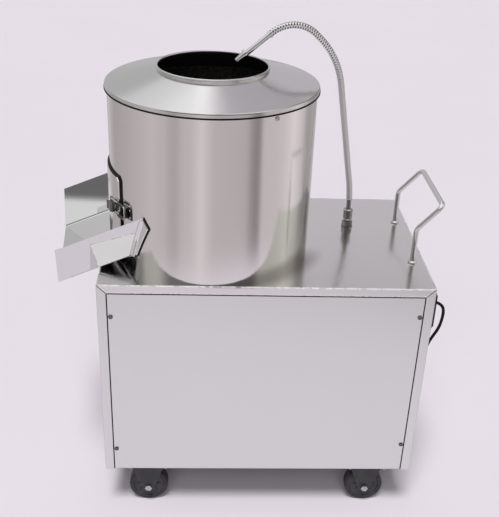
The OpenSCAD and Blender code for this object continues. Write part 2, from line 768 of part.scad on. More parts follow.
module hinge_fixed_leaf() placed() color("silver") chute_frame() {
    bent_plate(drum_r, drum_r + 1.8, hinge_a - 5.6, hinge_a - 0.8, hinge_z, 3 * knuckle_h);
    for (k = [0, 2]) difference() {
        union() {
            at_hinge(hinge_z + k * knuckle_h) cylinder(h = knuckle_h, r = knuckle_r, $fn = 48);
            bent_plate(drum_r, hinge_r + 1, hinge_a - 1.5, hinge_a - 0.8, hinge_z + k * knuckle_h, knuckle_h);
        }
        at_hinge(hinge_z - 1) cylinder(h = 200, r = pin_r, $fn = 48);
    }
}

module hinge_door_leaf() placed() color("silver") chute_frame() difference() {
    union() {
        difference() {
            bent_plate(latch_r, latch_r + 1.8, hinge_a + 0.7, hinge_a + 7, hinge_z, 3 * knuckle_h);
            for (z = [hinge_z - 1, hinge_z + 2 * knuckle_h - 0.5])
                bent_plate(latch_r - 1, latch_r + 3, hinge_a, hinge_a + 2.7, z, knuckle_h + 1.5);
        }
        at_hinge(hinge_z + knuckle_h + 0.5) cylinder(h = knuckle_h - 1, r = knuckle_r, $fn = 48);
    }
    at_hinge(hinge_z - 1) cylinder(h = 200, r = pin_r + run_fit, $fn = 48);
}

module hinge_pin() placed() color("silver") chute_frame()
    at_hinge(hinge_z) cylinder(h = 3 * knuckle_h, r = pin_r, $fn = 48);

// ---------- latch ----------
module latch_frame() {
    chute_frame() rotate([0, 0, latch_a]) translate([0, 0, latch_z]) children();
}

bail_z = 12;
bail_d = 2.5;
pivot_r = 1.6;
lever_h = 8.5;
lever_t = 1.4;

module latch_base() placed() color("silver") latch_frame() {
    translate([latch_r, -20, -10]) cube([1.2, 33, 20]);
    for (s = [-1, 1])
        translate([0, 0, s * (lever_h - lever_t - 1.1) - 0.8]) linear_extrude(1.6) {
            translate(pivot) circle(r = 2.4, $fn = 32);
            translate([latch_r + 1, pivot[1] - 2.4]) square([pivot[0] - latch_r - 1, 4.8]);
        }
    translate([pivot[0], pivot[1], -lever_h]) cylinder(h = 2 * lever_h, r = pivot_r, $fn = 24);
}

module latch_lever() placed() color("silver") latch_frame() difference() {
    translate([latch_r, 0, -lever_h]) linear_extrude(2 * lever_h)
        polygon([[2.3, -15], [2.3, 7], [4, 12], [9, 12.6], [11.9, 9], [9.6, -22], [10.2, -27.4],
                 [13.2, -32.2], [12, -33], [8.6, -28], [8, -22], [4, -20]]);
    translate([latch_r, 0, lever_t - lever_h]) linear_extrude(2 * (lever_h - lever_t))
        polygon([[0, -21.5], [8, -21.5], [10.3, 7.5], [14, 7.5], [14, 14], [0, 14]]);
    translate([pivot[0], pivot[1], -15]) cylinder(h = 30, r = pivot_r + run_fit, $fn = 24);
    translate([bail_pivot[0], bail_pivot[1], -15]) cylinder(h = 30, r = bail_d / 2 + run_fit, $fn = 24);
}

module latch_bail() placed() color("silver") latch_frame()
    for (s = [-1, 1]) bent_rod([
        [bail_pivot[0], bail_pivot[1], s * (lever_h - lever_t)], [bail_pivot[0], bail_pivot[1], s * bail_z],
        [bail_end[0], bail_end[1], s * bail_z], [bail_end[0], bail_end[1], 0]], [1.6, 3], bail_d);

module latch_hook() placed() color("silver") chute_frame() {
    bent_plate(drum_r, drum_r + 1.5, hook_a - 3.6, hook_a + 3.2, latch_z - 12, 24);
    rotate([0, 0, hook_a]) translate([0, 0, latch_z - 9]) linear_extrude(18)
        polygon([[drum_r + 0.5, -2.4], [hook_tip - 0.9, -2.4], [hook_tip, -1.4], [hook_tip, 1.6],
                 [hook_tip - 1.3, 1.9], [hook_tip - 1.5, -0.5], [hook_tip - 2, -0.9], [drum_r + 0.5, -0.9]]);
}

// ---------- water ----------
module drain_pipe() placed() color("silver") difference() {
    bent_rod([[drum_x, drum_y + drain_at, z1 + 3], [drum_x, drum_y + drain_at, drain_z],
              [drum_x, cab_d + drain_out, drain_z]], [30], 2 * drain_r);
    bent_rod([[drum_x, drum_y + drain_at, z1 + 4], [drum_x, drum_y + drain_at, drain_z],
              [drum_x, cab_d + drain_out + 1, drain_z]], [30], 2 * drain_r - 4);
}

module inlet_pipe() placed() color("silver") {
    zi = z0 + inlet_z;
    bent_rod([[hose_x, cab_d + 4, zi], [hose_x, hose_y, zi], [hose_x, hose_y, z1]], [14], 12);
    translate([hose_x, cab_d - panel_set, zi]) rotate([-90, 0, 0]) {
        hex(26, 5);
        cylinder(h = 20, r = inlet_r);
    }
    translate([hose_x, cab_d - 6 - panel_set - sheet, zi]) rotate([-90, 0, 0]) hex(26, 6);
}

module hose_nut() placed() color("silver") translate([hose_x, hose_y, z1]) difference() {
    union() {
        cylinder(h = 2, r = 12);
        translate([0, 0, 2]) hex(19, 12);
        cylinder(h = 22, r = 8);
        translate([0, 0, 17]) cylinder(h = 3, r1 = 8.4, r2 = 9.6);
        translate([0, 0, 20]) cylinder(h = 19, r = 9.6);
        translate([0, 0, 39]) cylinder(h = 2, r1 = 9.6, r2 = 7);
        translate([0, 0, 40]) cylinder(h = 22, r = 4.9);
    }
    translate([0, 0, -1]) cylinder(h = 70, r = 3);
}

// The gooseneck lies in one upright plane that points at the neck
hose_dir = atan2(drum_y - hose_y, drum_x - hose_x);
hose_from = 62;
hose_end = [187, 0, 407.5];
tube_dir = unit([180, 0, -137]);
hose_bends = [150, 160, 68];
hose_pts = [[0, 0, hose_from], [2.3, 0, 92], [49.4, 0, 358.7], hose_end - 59 * tube_dir, hose_end];

module in_hose_plane() {
    translate([hose_x, hose_y, z1]) rotate([0, 0, hose_dir]) children();
}

module gooseneck() placed() color("silver") in_hose_plane()
    bent_rod(hose_pts, hose_bends, hose_d);

module spray_tube() placed() color("silver") in_hose_plane() translate(hose_end) along(tube_dir) {
    cylinder(h = 4, r = hose_d / 2 + 0.6);
    cylinder(h = 57, r = 4.9);
    translate([0, 0, 57]) cylinder(h = 4, r = 9);
    translate([0, 0, 61]) difference() {
        cylinder(h = 19, r1 = 7, r2 = 5.2);
        translate([0, 0, 7]) cylinder(h = 13, r = 3.4);
    }
}

// ---------- handle ----------
module push_handle() placed() color("silver") {
    y2 = post_y + post_gap;
    zb = z1 + post_h;
    bent_rod([[post_x, post_y, z1], [post_x, post_y, zb], [post_x + grip_out, post_y, zb + grip_up],
              [post_x + grip_out, y2, zb + grip_up], [post_x, y2, zb], [post_x, y2, z1]],
             [18, 12, 12, 18], rod_d);
}

module handle_flanges() placed() color("silver")
    for (y = [post_y, post_y + post_gap]) translate([post_x, y, z1]) rotate_extrude()
        polygon([[rod_d / 2, 0], [rod_d / 2 + 4, 0], [rod_d / 2 + 4, 2], [rod_d / 2 + 1.5, 5], [rod_d / 2, 5]]);

// ---------- switch ----------
module at_box() {
    translate([cab_l, box_y, z0 + box_z]) children();
}

function button_z(i) = box_size[2] * (i == 0 ? 0.7 : 0.3);

module switch_box() placed() color("black") at_box() difference() {
    union() {
        cube([box_size[0] - 3, box_size[1], box_size[2]]);
        translate([box_size[0] - 3, 2, 2]) cube([3, box_size[1] - 4, box_size[2] - 4]);
    }
    for (i = [0, 1]) translate([box_size[0] - 9, box_size[1] / 2, button_z(i)]) rotate([0, 90, 0])
        cylinder(h = 12, r = button_r + 0.4);
}

module push_button(i) {
    at_box() translate([box_size[0] - 5, box_size[1] / 2, button_z(i)]) rotate([0, 90, 0]) {
        cylinder(h = 8, r = button_r);
        translate([0, 0, 8]) cylinder(h = 1, r1 = button_r, r2 = button_r - 1);
    }
}

module start_button() placed() color("green") push_button(0);
module stop_button() placed() color("red") push_button(1);

// ---------- cord ----------
gland_at = [cab_l, 60, z1 - gland_down];
gland_out = 14;

module cord_gland() placed() color("black") translate(gland_at) rotate([0, 90, 0]) difference() {
    union() {
        translate([0, 0, -sheet - 4]) hex(18, 4);
        translate([0, 0, -sheet - 4]) cylinder(h = 10, r = 7.5);
        hex(18, 5);
        translate([0, 0, 5]) cylinder(h = gland_out - 5, r1 = 8, r2 = 5);
    }
    translate([0, 0, -20]) cylinder(h = 60, r = cord_d / 2);
}

// Points along the cord: its loop and fall from the gland, then the side of the cabinet
// from the floor, then the back corner from the cabinet's back
cord_loop = [
    [14, 0, 0], [19.5, 0, -0.3], [24.4, 0, -1.7], [31.6, 0, -6.4], [36.3, 0.2, -13.6], [38, 0.6, -22],
    [38.4, 1.4, -31], [38, 3, -43], [36.6, 5, -56], [33.6, 7.4, -69], [28.6, 10, -83], [23, 13, -100],
    [18, 18, -126], [14.4, 25, -162], [12.4, 34, -206], [11.8, 46, -262]];
cord_side = [
    [12, 120, 150], [13, 138, 84], [14, 157, 40], [15, 182, 12], [16, 214, 4], [16, 260, 3.1],
    [17, 320, 3.1]];
cord_back = [
    [16, -30, 3.1], [11, 22, 3.1], [-6, 72, 3.1], [-38, 104, 3.1], [-84, 118, 3.1], [-134, 119, 3.1],
    [-184, 117, 3.1], [-200, 116, 3.1]];
cord_pts = concat([for (p = cord_loop) gland_at + p], [for (p = cord_side) [cab_l + p[0], p[1], p[2]]],
    [for (p = cord_back) [cab_l + p[0], cab_d + p[1], p[2]]]);
coil_at = [cab_l - 224, cab_d + 70, 0];
coil_r = [24, 48.2];
coil_h = 12.4;

function spline(p, i, t) = let (
    a = p[max(i - 1, 0)], b = p[i], c = p[i + 1], d = p[min(i + 2, len(p) - 1)])
    0.5 * ((2 * b) + (c - a) * t + (2 * a - 5 * b + 4 * c - d) * t * t
    + (3 * b - a - 3 * c + d) * t * t * t);

function swept(p, r, n, u) = [for (i = [0:len(p) - 1]) let (
    t = unit(p[min(i + 1, len(p) - 1)] - p[max(i - 1, 0)]),
    x = unit(cross(u, t)), y = cross(t, x))
    for (k = [0:n - 1]) p[i] + r * (cos(k * 360 / n) * x + sin(k * 360 / n) * y)];

// Rings between two points of the cord, about three diameters apart
function rings(p, i) = max(1, round(norm(p[i + 1] - p[i]) / (3 * cord_d)));

module power_cord() placed() color("black") {
    p = [for (i = [0:len(cord_pts) - 2]) let (c = rings(cord_pts, i))
            for (k = [0:c - 1]) spline(cord_pts, i, k / c),
         cord_pts[len(cord_pts) - 1]];
    n = 8;
    m = len(p);
    polyhedron(swept(p, cord_d / 2, n, [0.2, 0.97, 0.15]), concat(
        [[for (k = [0:n - 1]) n - 1 - k]], [[for (k = [0:n - 1]) (m - 1) * n + k]],
        [for (i = [0:m - 2], k = [0:n - 1]) [i * n + k, i * n + (k + 1) % n, (i + 1) * n + (k + 1) % n,
            (i + 1) * n + k]]));
}

module cord_coil() placed() color("black") translate(coil_at)
    rotate_extrude() polygon([[coil_r[0], 0.2], [coil_r[1], 0.2], [coil_r[1], cord_d],
        [coil_r[1] - 4, coil_h], [coil_r[0] + 4, coil_h], [coil_r[0], cord_d]]);

plug_at = coil_at + [-44, 27, 11];

module plug() placed() color("black") translate(plug_at) rotate([0, 0, 180]) {
    rotate([0, 90, 0]) cylinder(h = 12, r = cord_d / 2 + 1.5);
    translate([12, -18, -11]) cube([32, 36, 22]);
    for (s = [-1, 1]) translate([44, s * 9.5, 0]) rotate([0, 90, 0]) cylinder(h = 19, r = 2.4);
}

base_frame();
top_plate();
left_side();
right_side();
front_panel();
back_panel();
panel_screws();
fork_fl();
fork_fr();
fork_bl();
fork_br();
wheel_fl();
wheel_fr();
wheel_bl();
wheel_br();
axle_bolts();
drum_shell();
drum_liner();
drum_floor();
hopper_cover();
cover_screws();
peeling_disc();
disc_cap();
main_shaft();
driven_pulley();
bearing_housing();
bearings();
motor_body();
motor_fan_cover();
motor_plate();
motor_shaft();
motor_pulley();
drive_belt();
chute();
chute_pad();
door();
door_seal();
hinge_fixed_leaf();
hinge_door_leaf();
hinge_pin();
latch_base();
latch_lever();
latch_bail();
latch_hook();
drain_pipe();
inlet_pipe();
hose_nut();
gooseneck();
spray_tube();
push_handle();
handle_flanges();
switch_box();
start_button();
stop_button();
cord_gland();
power_cord();
cord_coil();
plug();
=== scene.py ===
import logging
import math
from dataclasses import dataclass
from enum import Enum
from itertools import product
from typing import Any, Callable, Sequence

import bmesh
import bpy
import numpy as np
from mathutils import Matrix


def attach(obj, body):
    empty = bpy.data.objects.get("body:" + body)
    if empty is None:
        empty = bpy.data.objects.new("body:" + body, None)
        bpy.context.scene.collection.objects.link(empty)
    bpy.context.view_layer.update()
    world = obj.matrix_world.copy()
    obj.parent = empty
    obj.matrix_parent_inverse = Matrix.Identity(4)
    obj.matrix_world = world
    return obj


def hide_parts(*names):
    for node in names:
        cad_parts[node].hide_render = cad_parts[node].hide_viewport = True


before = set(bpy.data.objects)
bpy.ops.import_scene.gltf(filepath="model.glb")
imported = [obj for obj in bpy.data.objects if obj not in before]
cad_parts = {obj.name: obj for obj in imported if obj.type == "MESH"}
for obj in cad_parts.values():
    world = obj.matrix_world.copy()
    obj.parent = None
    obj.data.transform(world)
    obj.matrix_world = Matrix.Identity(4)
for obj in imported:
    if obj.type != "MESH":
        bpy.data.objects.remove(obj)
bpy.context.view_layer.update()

log = logging.getLogger("drum_peeler")

# The row frame's origin, in metres from the cabinet's front left corner on the floor
CORNER = np.array([0.2738744, 0.22395, 0.0])
# Drum axis, hose foot and motor axis in millimetres from that corner
DRUM = (206.0, 198.0)
HOSE = (492.7, 266.6)
MOTOR = (490.0, 198.0)
# The cabinet's length and depth, the casters' distance from its sides, and the height of its top
CABINET = (624.0, 410.0)
CASTER_INSET = (84.0, 38.0)
PLATE_TOP = 536.0
DRUM_RADIUS = 194.5
CHUTE_YAW = math.radians(5.7)
RIGHT, LEFT, BACKWARD, UP, DOWN = (1, 0, 0), (-1, 0, 0), (0, 1, 0), (0, 0, 1), (0, 0, -1)
ORIGIN = (0.0, 0.0, 0.0)

Numbers = Sequence[float]
Pair = tuple[float, float]
Triple = tuple[float, float, float]
Colour = Triple
Material = bpy.types.Material
Socket = bpy.types.NodeSocket


def row(points: Any) -> np.ndarray:
    """Turns millimetres from the cabinet's front left corner into metres in the row frame."""
    return np.asarray(points, dtype=float) / 1000.0 - CORNER


def xyz(x: Any, y: Any, z: Any) -> np.ndarray:
    """Stacks coordinates that broadcast together into points."""
    return np.stack(np.broadcast_arrays(x, y, z), -1)


def unit(vectors: Any) -> np.ndarray:
    """Scales vectors to length 1."""
    return vectors / np.linalg.norm(vectors, axis=-1, keepdims=True)


def circle(steps: int) -> np.ndarray:
    """Angles of equal steps once round."""
    return np.linspace(0, 2 * np.pi, steps, endpoint=False)


def rounded_square(angles: np.ndarray, power: Any) -> list[np.ndarray]:
    """A square with round corners: cosine and sine raised to a power, with their signs kept."""
    return [np.sign(v) * np.abs(v) ** power for v in (np.cos(angles), np.sin(angles))]


def chute_point(out: Any, across: Any, up: Any) -> np.ndarray:
    """Turns the chute's own millimetres into millimetres from the cabinet's corner.

    Args:
        out: Distances from the drum's axis along the chute.
        across: Distances across the chute, positive towards the front.
        up: Heights above the floor.

    Returns:
        Points with x, y and z last.
    """
    c, s = math.cos(math.pi + CHUTE_YAW), math.sin(math.pi + CHUTE_YAW)
    return xyz(DRUM[0] + out * c - across * s, DRUM[1] + out * s + across * c, up)


# ---- surfaces

@dataclass
class Patch:
    """One grid of points that becomes part of a piece, in metres in the row frame."""

    points: np.ndarray
    wrap_u: bool = False
    wrap_v: bool = True
    caps: bool = False
    slot: int = 0


def patch_faces(patch: Patch, first: int) -> tuple[list, np.ndarray]:
    """Lists a grid's quads: row i, column j joins row i + 1 and column j + 1.

    Args:
        patch: The grid.
        first: Index of the grid's first vertex in the piece.

    Returns:
        The faces, and their corners' UVs in the same order.
    """
    nu, nv = patch.points.shape[:2]
    i, j = np.meshgrid(np.arange(nu if patch.wrap_u else nu - 1),
                       np.arange(nv if patch.wrap_v else nv - 1), indexing="ij")
    i, j = i.ravel(), j.ravel()
    corner_i = np.stack([i, i + 1, i + 1, i], 1)
    corner_j = np.stack([j, j, j + 1, j + 1], 1)
    quads = (corner_i % nu) * nv + corner_j % nv + first
    uv = np.stack([corner_i / max(nu - 1, 1), corner_j / nv], -1).reshape(-1, 2)
    faces = quads.tolist()
    if patch.caps:
        faces.append((np.arange(nv)[::-1] + first).tolist())
        faces.append((np.arange(nv) + first + (nu - 1) * nv).tolist())
        uv = np.concatenate([uv, np.zeros((2 * nv, 2))])
    return faces, uv


def add_object(name: str, data: Any) -> bpy.types.Object:
    """Puts a mesh, a lamp or a camera into the scene as an object."""
    obj = bpy.data.objects.new(name, data)
    bpy.context.scene.collection.objects.link(obj)
    return obj


def make_piece(name: str, patches: Sequence[Patch], finishes: Sequence[str], body: str = "cabinet",
               replaces: Sequence[str] = (), sharp: float = 40.0) -> bpy.types.Object:
    """Builds one piece from grids of points and lets it ride on a body.

    Args:
        name: The piece's name.
        patches: Its grids.
        finishes: Its finishes, in the order of the patches' slots.
        body: The body that it moves with.
        replaces: CAD nodes that it stands for.
        sharp: Angle in degrees above which an edge is shaded sharp.

    Returns:
        The new object.
    """
    verts, faces, slots, uvs, first = [], [], [], [], 0
    for patch in patches:
        more, uv = patch_faces(patch, first)
        verts.append(patch.points.reshape(-1, 3))
        faces += more
        slots += [patch.slot] * len(more)
        uvs.append(uv)
        first += len(verts[-1])
    mesh = bpy.data.meshes.new(name)
    mesh.from_pydata(np.concatenate(verts), [], faces)
    for finish in finishes:
        mesh.materials.append(Finishes.get(finish))
    mesh.polygons.foreach_set("material_index", np.array(slots, np.int32))
    mesh.polygons.foreach_set("use_smooth", np.ones(len(faces), bool))
    layer = mesh.uv_layers.new(name="run")
    layer.data.foreach_set("uv", np.concatenate(uvs).astype(np.float32).ravel())
    work = bmesh.new()
    work.from_mesh(mesh)
    bmesh.ops.recalc_face_normals(work, faces=work.faces)
    work.to_mesh(mesh)
    work.free()
    mesh.set_sharp_from_angle(angle=math.radians(sharp))
    obj = add_object(name, mesh)
    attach(obj, body)
    if replaces:
        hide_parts(*replaces)
    log.info("%s: %d faces on %s", name, len(faces), body)
    return obj


def lathe(profile: Sequence[Numbers], centre: Numbers, axis: Numbers = UP, segments: int = 48,
          ring: bool = False, slot: int = 0) -> Patch:
    """A surface of revolution: each profile point (radius, height) is carried round the axis.

    Args:
        profile: Radii and heights along the axis, in millimetres.
        centre: Where height 0 is, in millimetres from the cabinet's corner.
        axis: Direction of the axis.
        segments: Steps round the axis.
        ring: Whether the profile is a closed loop.
        slot: Index of its material in the piece.

    Returns:
        Its grid, profile by angle.
    """
    z = unit(np.asarray(axis, float))
    x = unit(np.cross(BACKWARD if abs(z[1]) < 0.9 else RIGHT, z))
    a = circle(segments)[:, None]
    p = np.asarray(profile, float)[..., None, None]
    points = np.asarray(centre, float) + p[:, 0] * (np.cos(a) * x + np.sin(a) * np.cross(z, x)) + p[:, 1] * z
    return Patch(row(points), wrap_u=ring, slot=slot)


def loft(rings: Any, slot: int = 0) -> Patch:
    """A closed form through rings of points in millimetres, with a cap at each end."""
    return Patch(row(rings), caps=True, slot=slot)


def smooth_line(points: Any, steps: int) -> np.ndarray:
    """A Catmull-Rom spline: between two points the curve blends four neighbours by a cubic in t.

    Args:
        points: Points that the line passes through.
        steps: Samples between two points.

    Returns:
        The samples.
    """
    p = np.asarray(points, float)
    a, b, c, d = (p[np.clip(np.arange(len(p) - 1) + k, 0, len(p) - 1)][:, None] for k in (-1, 0, 1, 2))
    t = np.linspace(0, 1, steps, endpoint=False)[None, :, None]
    q = 0.5 * (2 * b + (c - a) * t + (2 * a - 5 * b + 4 * c - d) * t ** 2 + (3 * b - a - 3 * c + d) * t ** 3)
    return np.concatenate([q.reshape(-1, p.shape[1]), p[-1:]])


def even_line(points: np.ndarray, step: float) -> np.ndarray:
    """Samples a line again at equal steps along its length.

    Args:
        points: The line's points.
        step: The wanted step.

    Returns:
        The new points.
    """
    s = np.concatenate([[0], np.cumsum(np.linalg.norm(np.diff(points, axis=0), axis=1))])
    at = np.linspace(0, s[-1], max(2, int(round(s[-1] / step)) + 1))
    return np.stack([np.interp(at, s, column) for column in points.T], -1)


def tube(path: np.ndarray, radius: Any, side: Any, sides: int = 16) -> np.ndarray:
    """A round profile carried along a path: point + radius * (cos a * x + sin a * y).

    Args:
        path: Points of the centreline, in millimetres from the cabinet's corner.
        radius: One radius, or a grid of radii by ring and angle.
        side: A direction, or one per ring, that is never along the path.
        sides: Steps round the tube.

    Returns:
        A grid of points in metres, ring by angle.
    """
    t = unit(np.gradient(path, axis=0))
    x = unit(np.cross(np.broadcast_to(side, path.shape), t))[:, None]
    y = np.cross(t, x[:, 0])[:, None]
    a = circle(sides)[None, :, None]
    r = np.broadcast_to(np.asarray(radius, float), (len(path), sides))[..., None]
    return row(path[:, None] + r * (np.cos(a) * x + np.sin(a) * y))


def closed_ends(grid: np.ndarray) -> np.ndarray:
    """Closes a tube: at each end, one more ring lies in one point, the middle of the end ring."""
    start, end = (np.broadcast_to(part.mean(1, keepdims=True), part.shape) for part in (grid[:1], grid[-1:]))
    return np.concatenate([start, grid, end])


# ---- shader groups

class Wiring:
    """Adds nodes to a node tree and links them."""

    def __init__(self, tree: bpy.types.NodeTree) -> None:
        """Keeps the tree that nodes are added to."""
        self.tree = tree

    def add(self, kind: str, inputs: dict | None = None, **settings: Any) -> bpy.types.Node:
        """Adds a shader node.

        Args:
            kind: Blender's name for the node, after its leading ShaderNode.
            inputs: Sockets by name or index, each with a value or a socket to link.
            **settings: Properties of the node.

        Returns:
            The node.
        """
        node = self.tree.nodes.new("ShaderNode" + kind)
        for key, value in settings.items():
            setattr(node, key, value)
        for key, value in (inputs or {}).items():
            self.put(node.inputs[key], value)
        return node

    def put(self, socket: Socket, value: Any) -> None:
        """Links a socket, or sets its value."""
        if isinstance(value, Socket):
            self.tree.links.new(value, socket)
        else:
            socket.default_value = value

    def math(self, operation: str, a: Any, b: Any = 0.0, clamp: bool = False) -> Socket:
        """Returns the result of a Math node on one or two values."""
        return self.add("Math", {0: a, 1: b}, operation=operation, use_clamp=clamp).outputs[0]

    def times(self, first: Any, *others: Any, clamp: bool = False) -> Socket:
        """Returns the product of two or more values."""
        for value in others:
            first = self.math("MULTIPLY", first, value, clamp)
        return first

    def vector(self, operation: str, a: Any, b: Any = ORIGIN, out: str = "Vector") -> Socket:
        """Returns the result of a Vector Math node on one or two vectors."""
        return self.add("VectorMath", {0: a, 1: b}, operation=operation).outputs[out]

    def reach(self, x: Any, y: Any) -> Socket:
        """Returns the length of the flat vector x, y."""
        return self.math("SQRT", self.math("ADD", self.times(x, x), self.times(y, y)))

    def from_drum(self, vector: Any) -> tuple[Socket, Socket, Socket]:
        """Returns a place's x and y from the drum's axis, and its height."""
        place = self.add("SeparateXYZ", {0: vector}).outputs
        axis = row((*DRUM, 0.0))
        x, y = (self.math("SUBTRACT", place[k], float(axis[k])) for k in (0, 1))
        return x, y, place[2]

    def noise(self, vector: Any, scale: float, detail: float = 3.0, rough: float = 0.5) -> Socket:
        """Returns a noise value from 0 to 1 at a vector."""
        return self.add("TexNoise", {"Vector": vector, "Scale": scale, "Detail": detail,
                                     "Roughness": rough}).outputs["Fac"]

    def fit(self, value: Any, low: float, high: float, to_low: Any = 0.0, to_high: Any = 1.0,
            smooth: bool = True) -> Socket:
        """Returns a value mapped from one range to another and clamped."""
        return self.add("MapRange", {0: value, 1: low, 2: high, 3: to_low, 4: to_high},
                        interpolation_type="SMOOTHSTEP" if smooth else "LINEAR").outputs[0]

    def mix(self, factor: Any, a: Any, b: Any, blend: str = "MIX") -> Socket:
        """Returns a colour mixed from two by a factor."""
        return self.add("Mix", {0: factor, 6: a, 7: b}, data_type="RGBA", blend_type=blend,
                        clamp_factor=True).outputs[2]

    def tones(self, value: Any, stops: Sequence[Pair], tint: Colour = (1.0, 1.0, 1.0)) -> Socket:
        """Turns a value into a tinted grey by a ramp.

        Args:
            value: The value.
            stops: Values, each with its grey, in rising order.
            tint: The colour of a grey of 1.

        Returns:
            The colour.
        """
        low, high = stops[0][0], stops[-1][0]
        node = self.add("ValToRGB", {0: self.fit(value, low, high, smooth=False)})
        elements = node.color_ramp.elements
        while len(elements) < len(stops):
            elements.new(0.5)
        for element, (at, grey) in zip(elements, stops):
            element.position = (at - low) / (high - low)
            element.color = (*(grey * c for c in tint), 1.0)
        return node.outputs[0]


class Effect(Enum):
    """The shared effects, each a node group built once."""

    BRUSHING = "brushing"
    SMUDGES = "smudges"
    BARE_AND_BRIGHT_EDGES = "bare_and_bright_edges"
    DUST = "dust"
    GRIT = "grit"
    BRAID = "braid"
    FOOT_SHADE = "foot_shade"


GROUPS: dict[Effect, bpy.types.NodeTree] = {}


def new_group(effect: Effect, inputs: dict[str, Any], *outputs: str) -> tuple[Wiring, Any, Any]:
    """Starts an effect's shader node group, whose outputs are numbers.

    Args:
        effect: The effect, which names the group.
        inputs: Input names, each with its default, a number or a vector.
        *outputs: Output names.

    Returns:
        The group's wiring, the sockets that bring its inputs, and the sockets of its outputs.
    """
    tree = GROUPS[effect] = bpy.data.node_groups.new(effect.value, "ShaderNodeTree")
    for label, value in inputs.items():
        kind = "NodeSocketFloat" if isinstance(value, float) else "NodeSocketVector"
        tree.interface.new_socket(label, in_out="INPUT", socket_type=kind).default_value = value
    for label in outputs:
        tree.interface.new_socket(label, in_out="OUTPUT", socket_type="NodeSocketFloat")
    return Wiring(tree), tree.nodes.new("NodeGroupInput").outputs, tree.nodes.new("NodeGroupOutput").inputs


def build_brushing() -> None:
    """Fine lines along one direction: a fine and a coarse noise, both stretched by a vector."""
    w, i, o = new_group(Effect.BRUSHING, {"Vector": ORIGIN, "Stretch": (2.0, 2.0, 400.0)}, "Lines")
    stretched = w.vector("MULTIPLY", i["Vector"], i["Stretch"])
    fine = w.noise(stretched, 2.6, 2.0, 0.6)
    coarse = w.noise(w.vector("MULTIPLY", stretched, (0.6, 0.6, 0.6)), 0.55, 3.0, 0.7)
    w.put(o["Lines"], w.math("ADD", w.times(fine, 0.6), w.times(coarse, 0.4)))


def build_smudges() -> None:
    """Soft patches where hands and cloths passed: a noise with its low part cut off."""
    w, i, o = new_group(Effect.SMUDGES, {"Vector": ORIGIN, "Scale": 6.0, "Amount": 0.5}, "Mask")
    scaled = w.add("VectorMath", {0: i["Vector"], "Scale": i["Scale"]}, operation="SCALE").outputs[0]
    w.put(o["Mask"], w.times(w.fit(w.noise(scaled, 1.0, 5.0, 0.62), 0.42, 0.7), i["Amount"], clamp=True))


def build_bare_and_bright_edges() -> None:
    """Edges where a rounded normal leaves the true one, broken up by noise: bare metal where paint and castings wear,
    a painted highlight on the top plate's front fold.
    """
    w, i, o = new_group(Effect.BARE_AND_BRIGHT_EDGES, {"Vector": ORIGIN, "Amount": 0.6, "Radius": 0.0016}, "Mask")
    rounded = w.add("Bevel", {"Radius": i["Radius"]}, samples=6).outputs[0]
    same = w.vector("DOT_PRODUCT", rounded, w.add("NewGeometry").outputs["Normal"], "Value")
    broken = w.fit(w.noise(i["Vector"], 90.0, 4.0, 0.7), 0.38, 0.62)
    w.put(o["Mask"], w.times(w.fit(same, 0.97, 0.72), broken, i["Amount"], clamp=True))


def build_dust() -> None:
    """Dust on what faces up: the normal's height times a noise."""
    w, i, o = new_group(Effect.DUST, {"Vector": ORIGIN, "Amount": 0.3}, "Mask")
    normal = w.add("SeparateXYZ", {0: w.add("NewGeometry").outputs["Normal"]}).outputs
    specks = w.fit(w.noise(i["Vector"], 38.0, 5.0, 0.65), 0.4, 0.72)
    w.put(o["Mask"], w.times(w.fit(normal[2], 0.1, 1.0, 0.25, 1.0), specks, i["Amount"], clamp=True))


def build_grit() -> None:
    """Crystals or grains: one value and one height per Voronoi cell."""
    w, i, o = new_group(Effect.GRIT, {"Vector": ORIGIN, "Scale": 400.0}, "Tone", "Height")
    cells = w.add("TexVoronoi", {"Vector": i["Vector"], "Scale": i["Scale"]}).outputs
    w.put(o["Tone"], w.add("SeparateColor", {0: cells["Color"]}).outputs[0])
    w.put(o["Height"], w.fit(cells["Distance"], 0.7, 0.0))


def build_braid() -> None:
    """Crossing wires on a hose's own UV: the brighter of two slanted sine waves."""
    w, i, o = new_group(Effect.BRAID, {"UV": ORIGIN, "Turns": 150.0, "Strands": 12.0}, "Height", "Over")
    uv = w.add("SeparateXYZ", {0: i["UV"]}).outputs
    along, around = (w.times(uv[k], w.times(i[rate], 2 * math.pi)) for k, rate in enumerate(("Turns", "Strands")))
    one, two = (w.math("SINE", w.math(sign, along, around)) for sign in ("ADD", "SUBTRACT"))
    w.put(o["Height"], w.fit(w.math("MAXIMUM", one, two), -0.4, 1.0, smooth=False))
    w.put(o["Over"], w.fit(w.math("SUBTRACT", one, two), -0.4, 0.4))


def build_foot_shade() -> None:
    """Painted shade round the drum's foot on the plate, where drum and plate shade each other in the corner: in front,
    on the right.
    """
    w, i, o = new_group(Effect.FOOT_SHADE, {"Vector": ORIGIN, "Amount": 0.5}, "Mask")
    x, y, z = w.from_drum(i["Vector"])
    ring = w.times(w.fit(w.reach(x, y), 0.240, 0.200), w.fit(z, 0.531, 0.535))
    side = w.times(w.fit(w.math("SUBTRACT", x, w.times(y, 0.5)), 0.05, 0.15), w.fit(y, -0.02, -0.10))
    w.put(o["Mask"], w.times(ring, side, i["Amount"], clamp=True))


for build_effect in (build_brushing, build_smudges, build_bare_and_bright_edges, build_dust, build_grit, build_braid,
                     build_foot_shade):
    build_effect()


# ---- finishes

# Colour of the painted shade round the drum's foot on the top plate
FOOT_SHADE_TINT = (0.30, 0.265, 0.25)
PALE_DUST = (0.42, 0.41, 0.4)
GREY_DUST = (0.3, 0.29, 0.28)
BARE_IRON = (0.55, 0.55, 0.56)
EVENLY = (60.0, 60.0, 60.0)


def shade(tint: Colour, level: float) -> Colour:
    """Returns a colour times a level."""
    return tuple(c * level for c in tint)


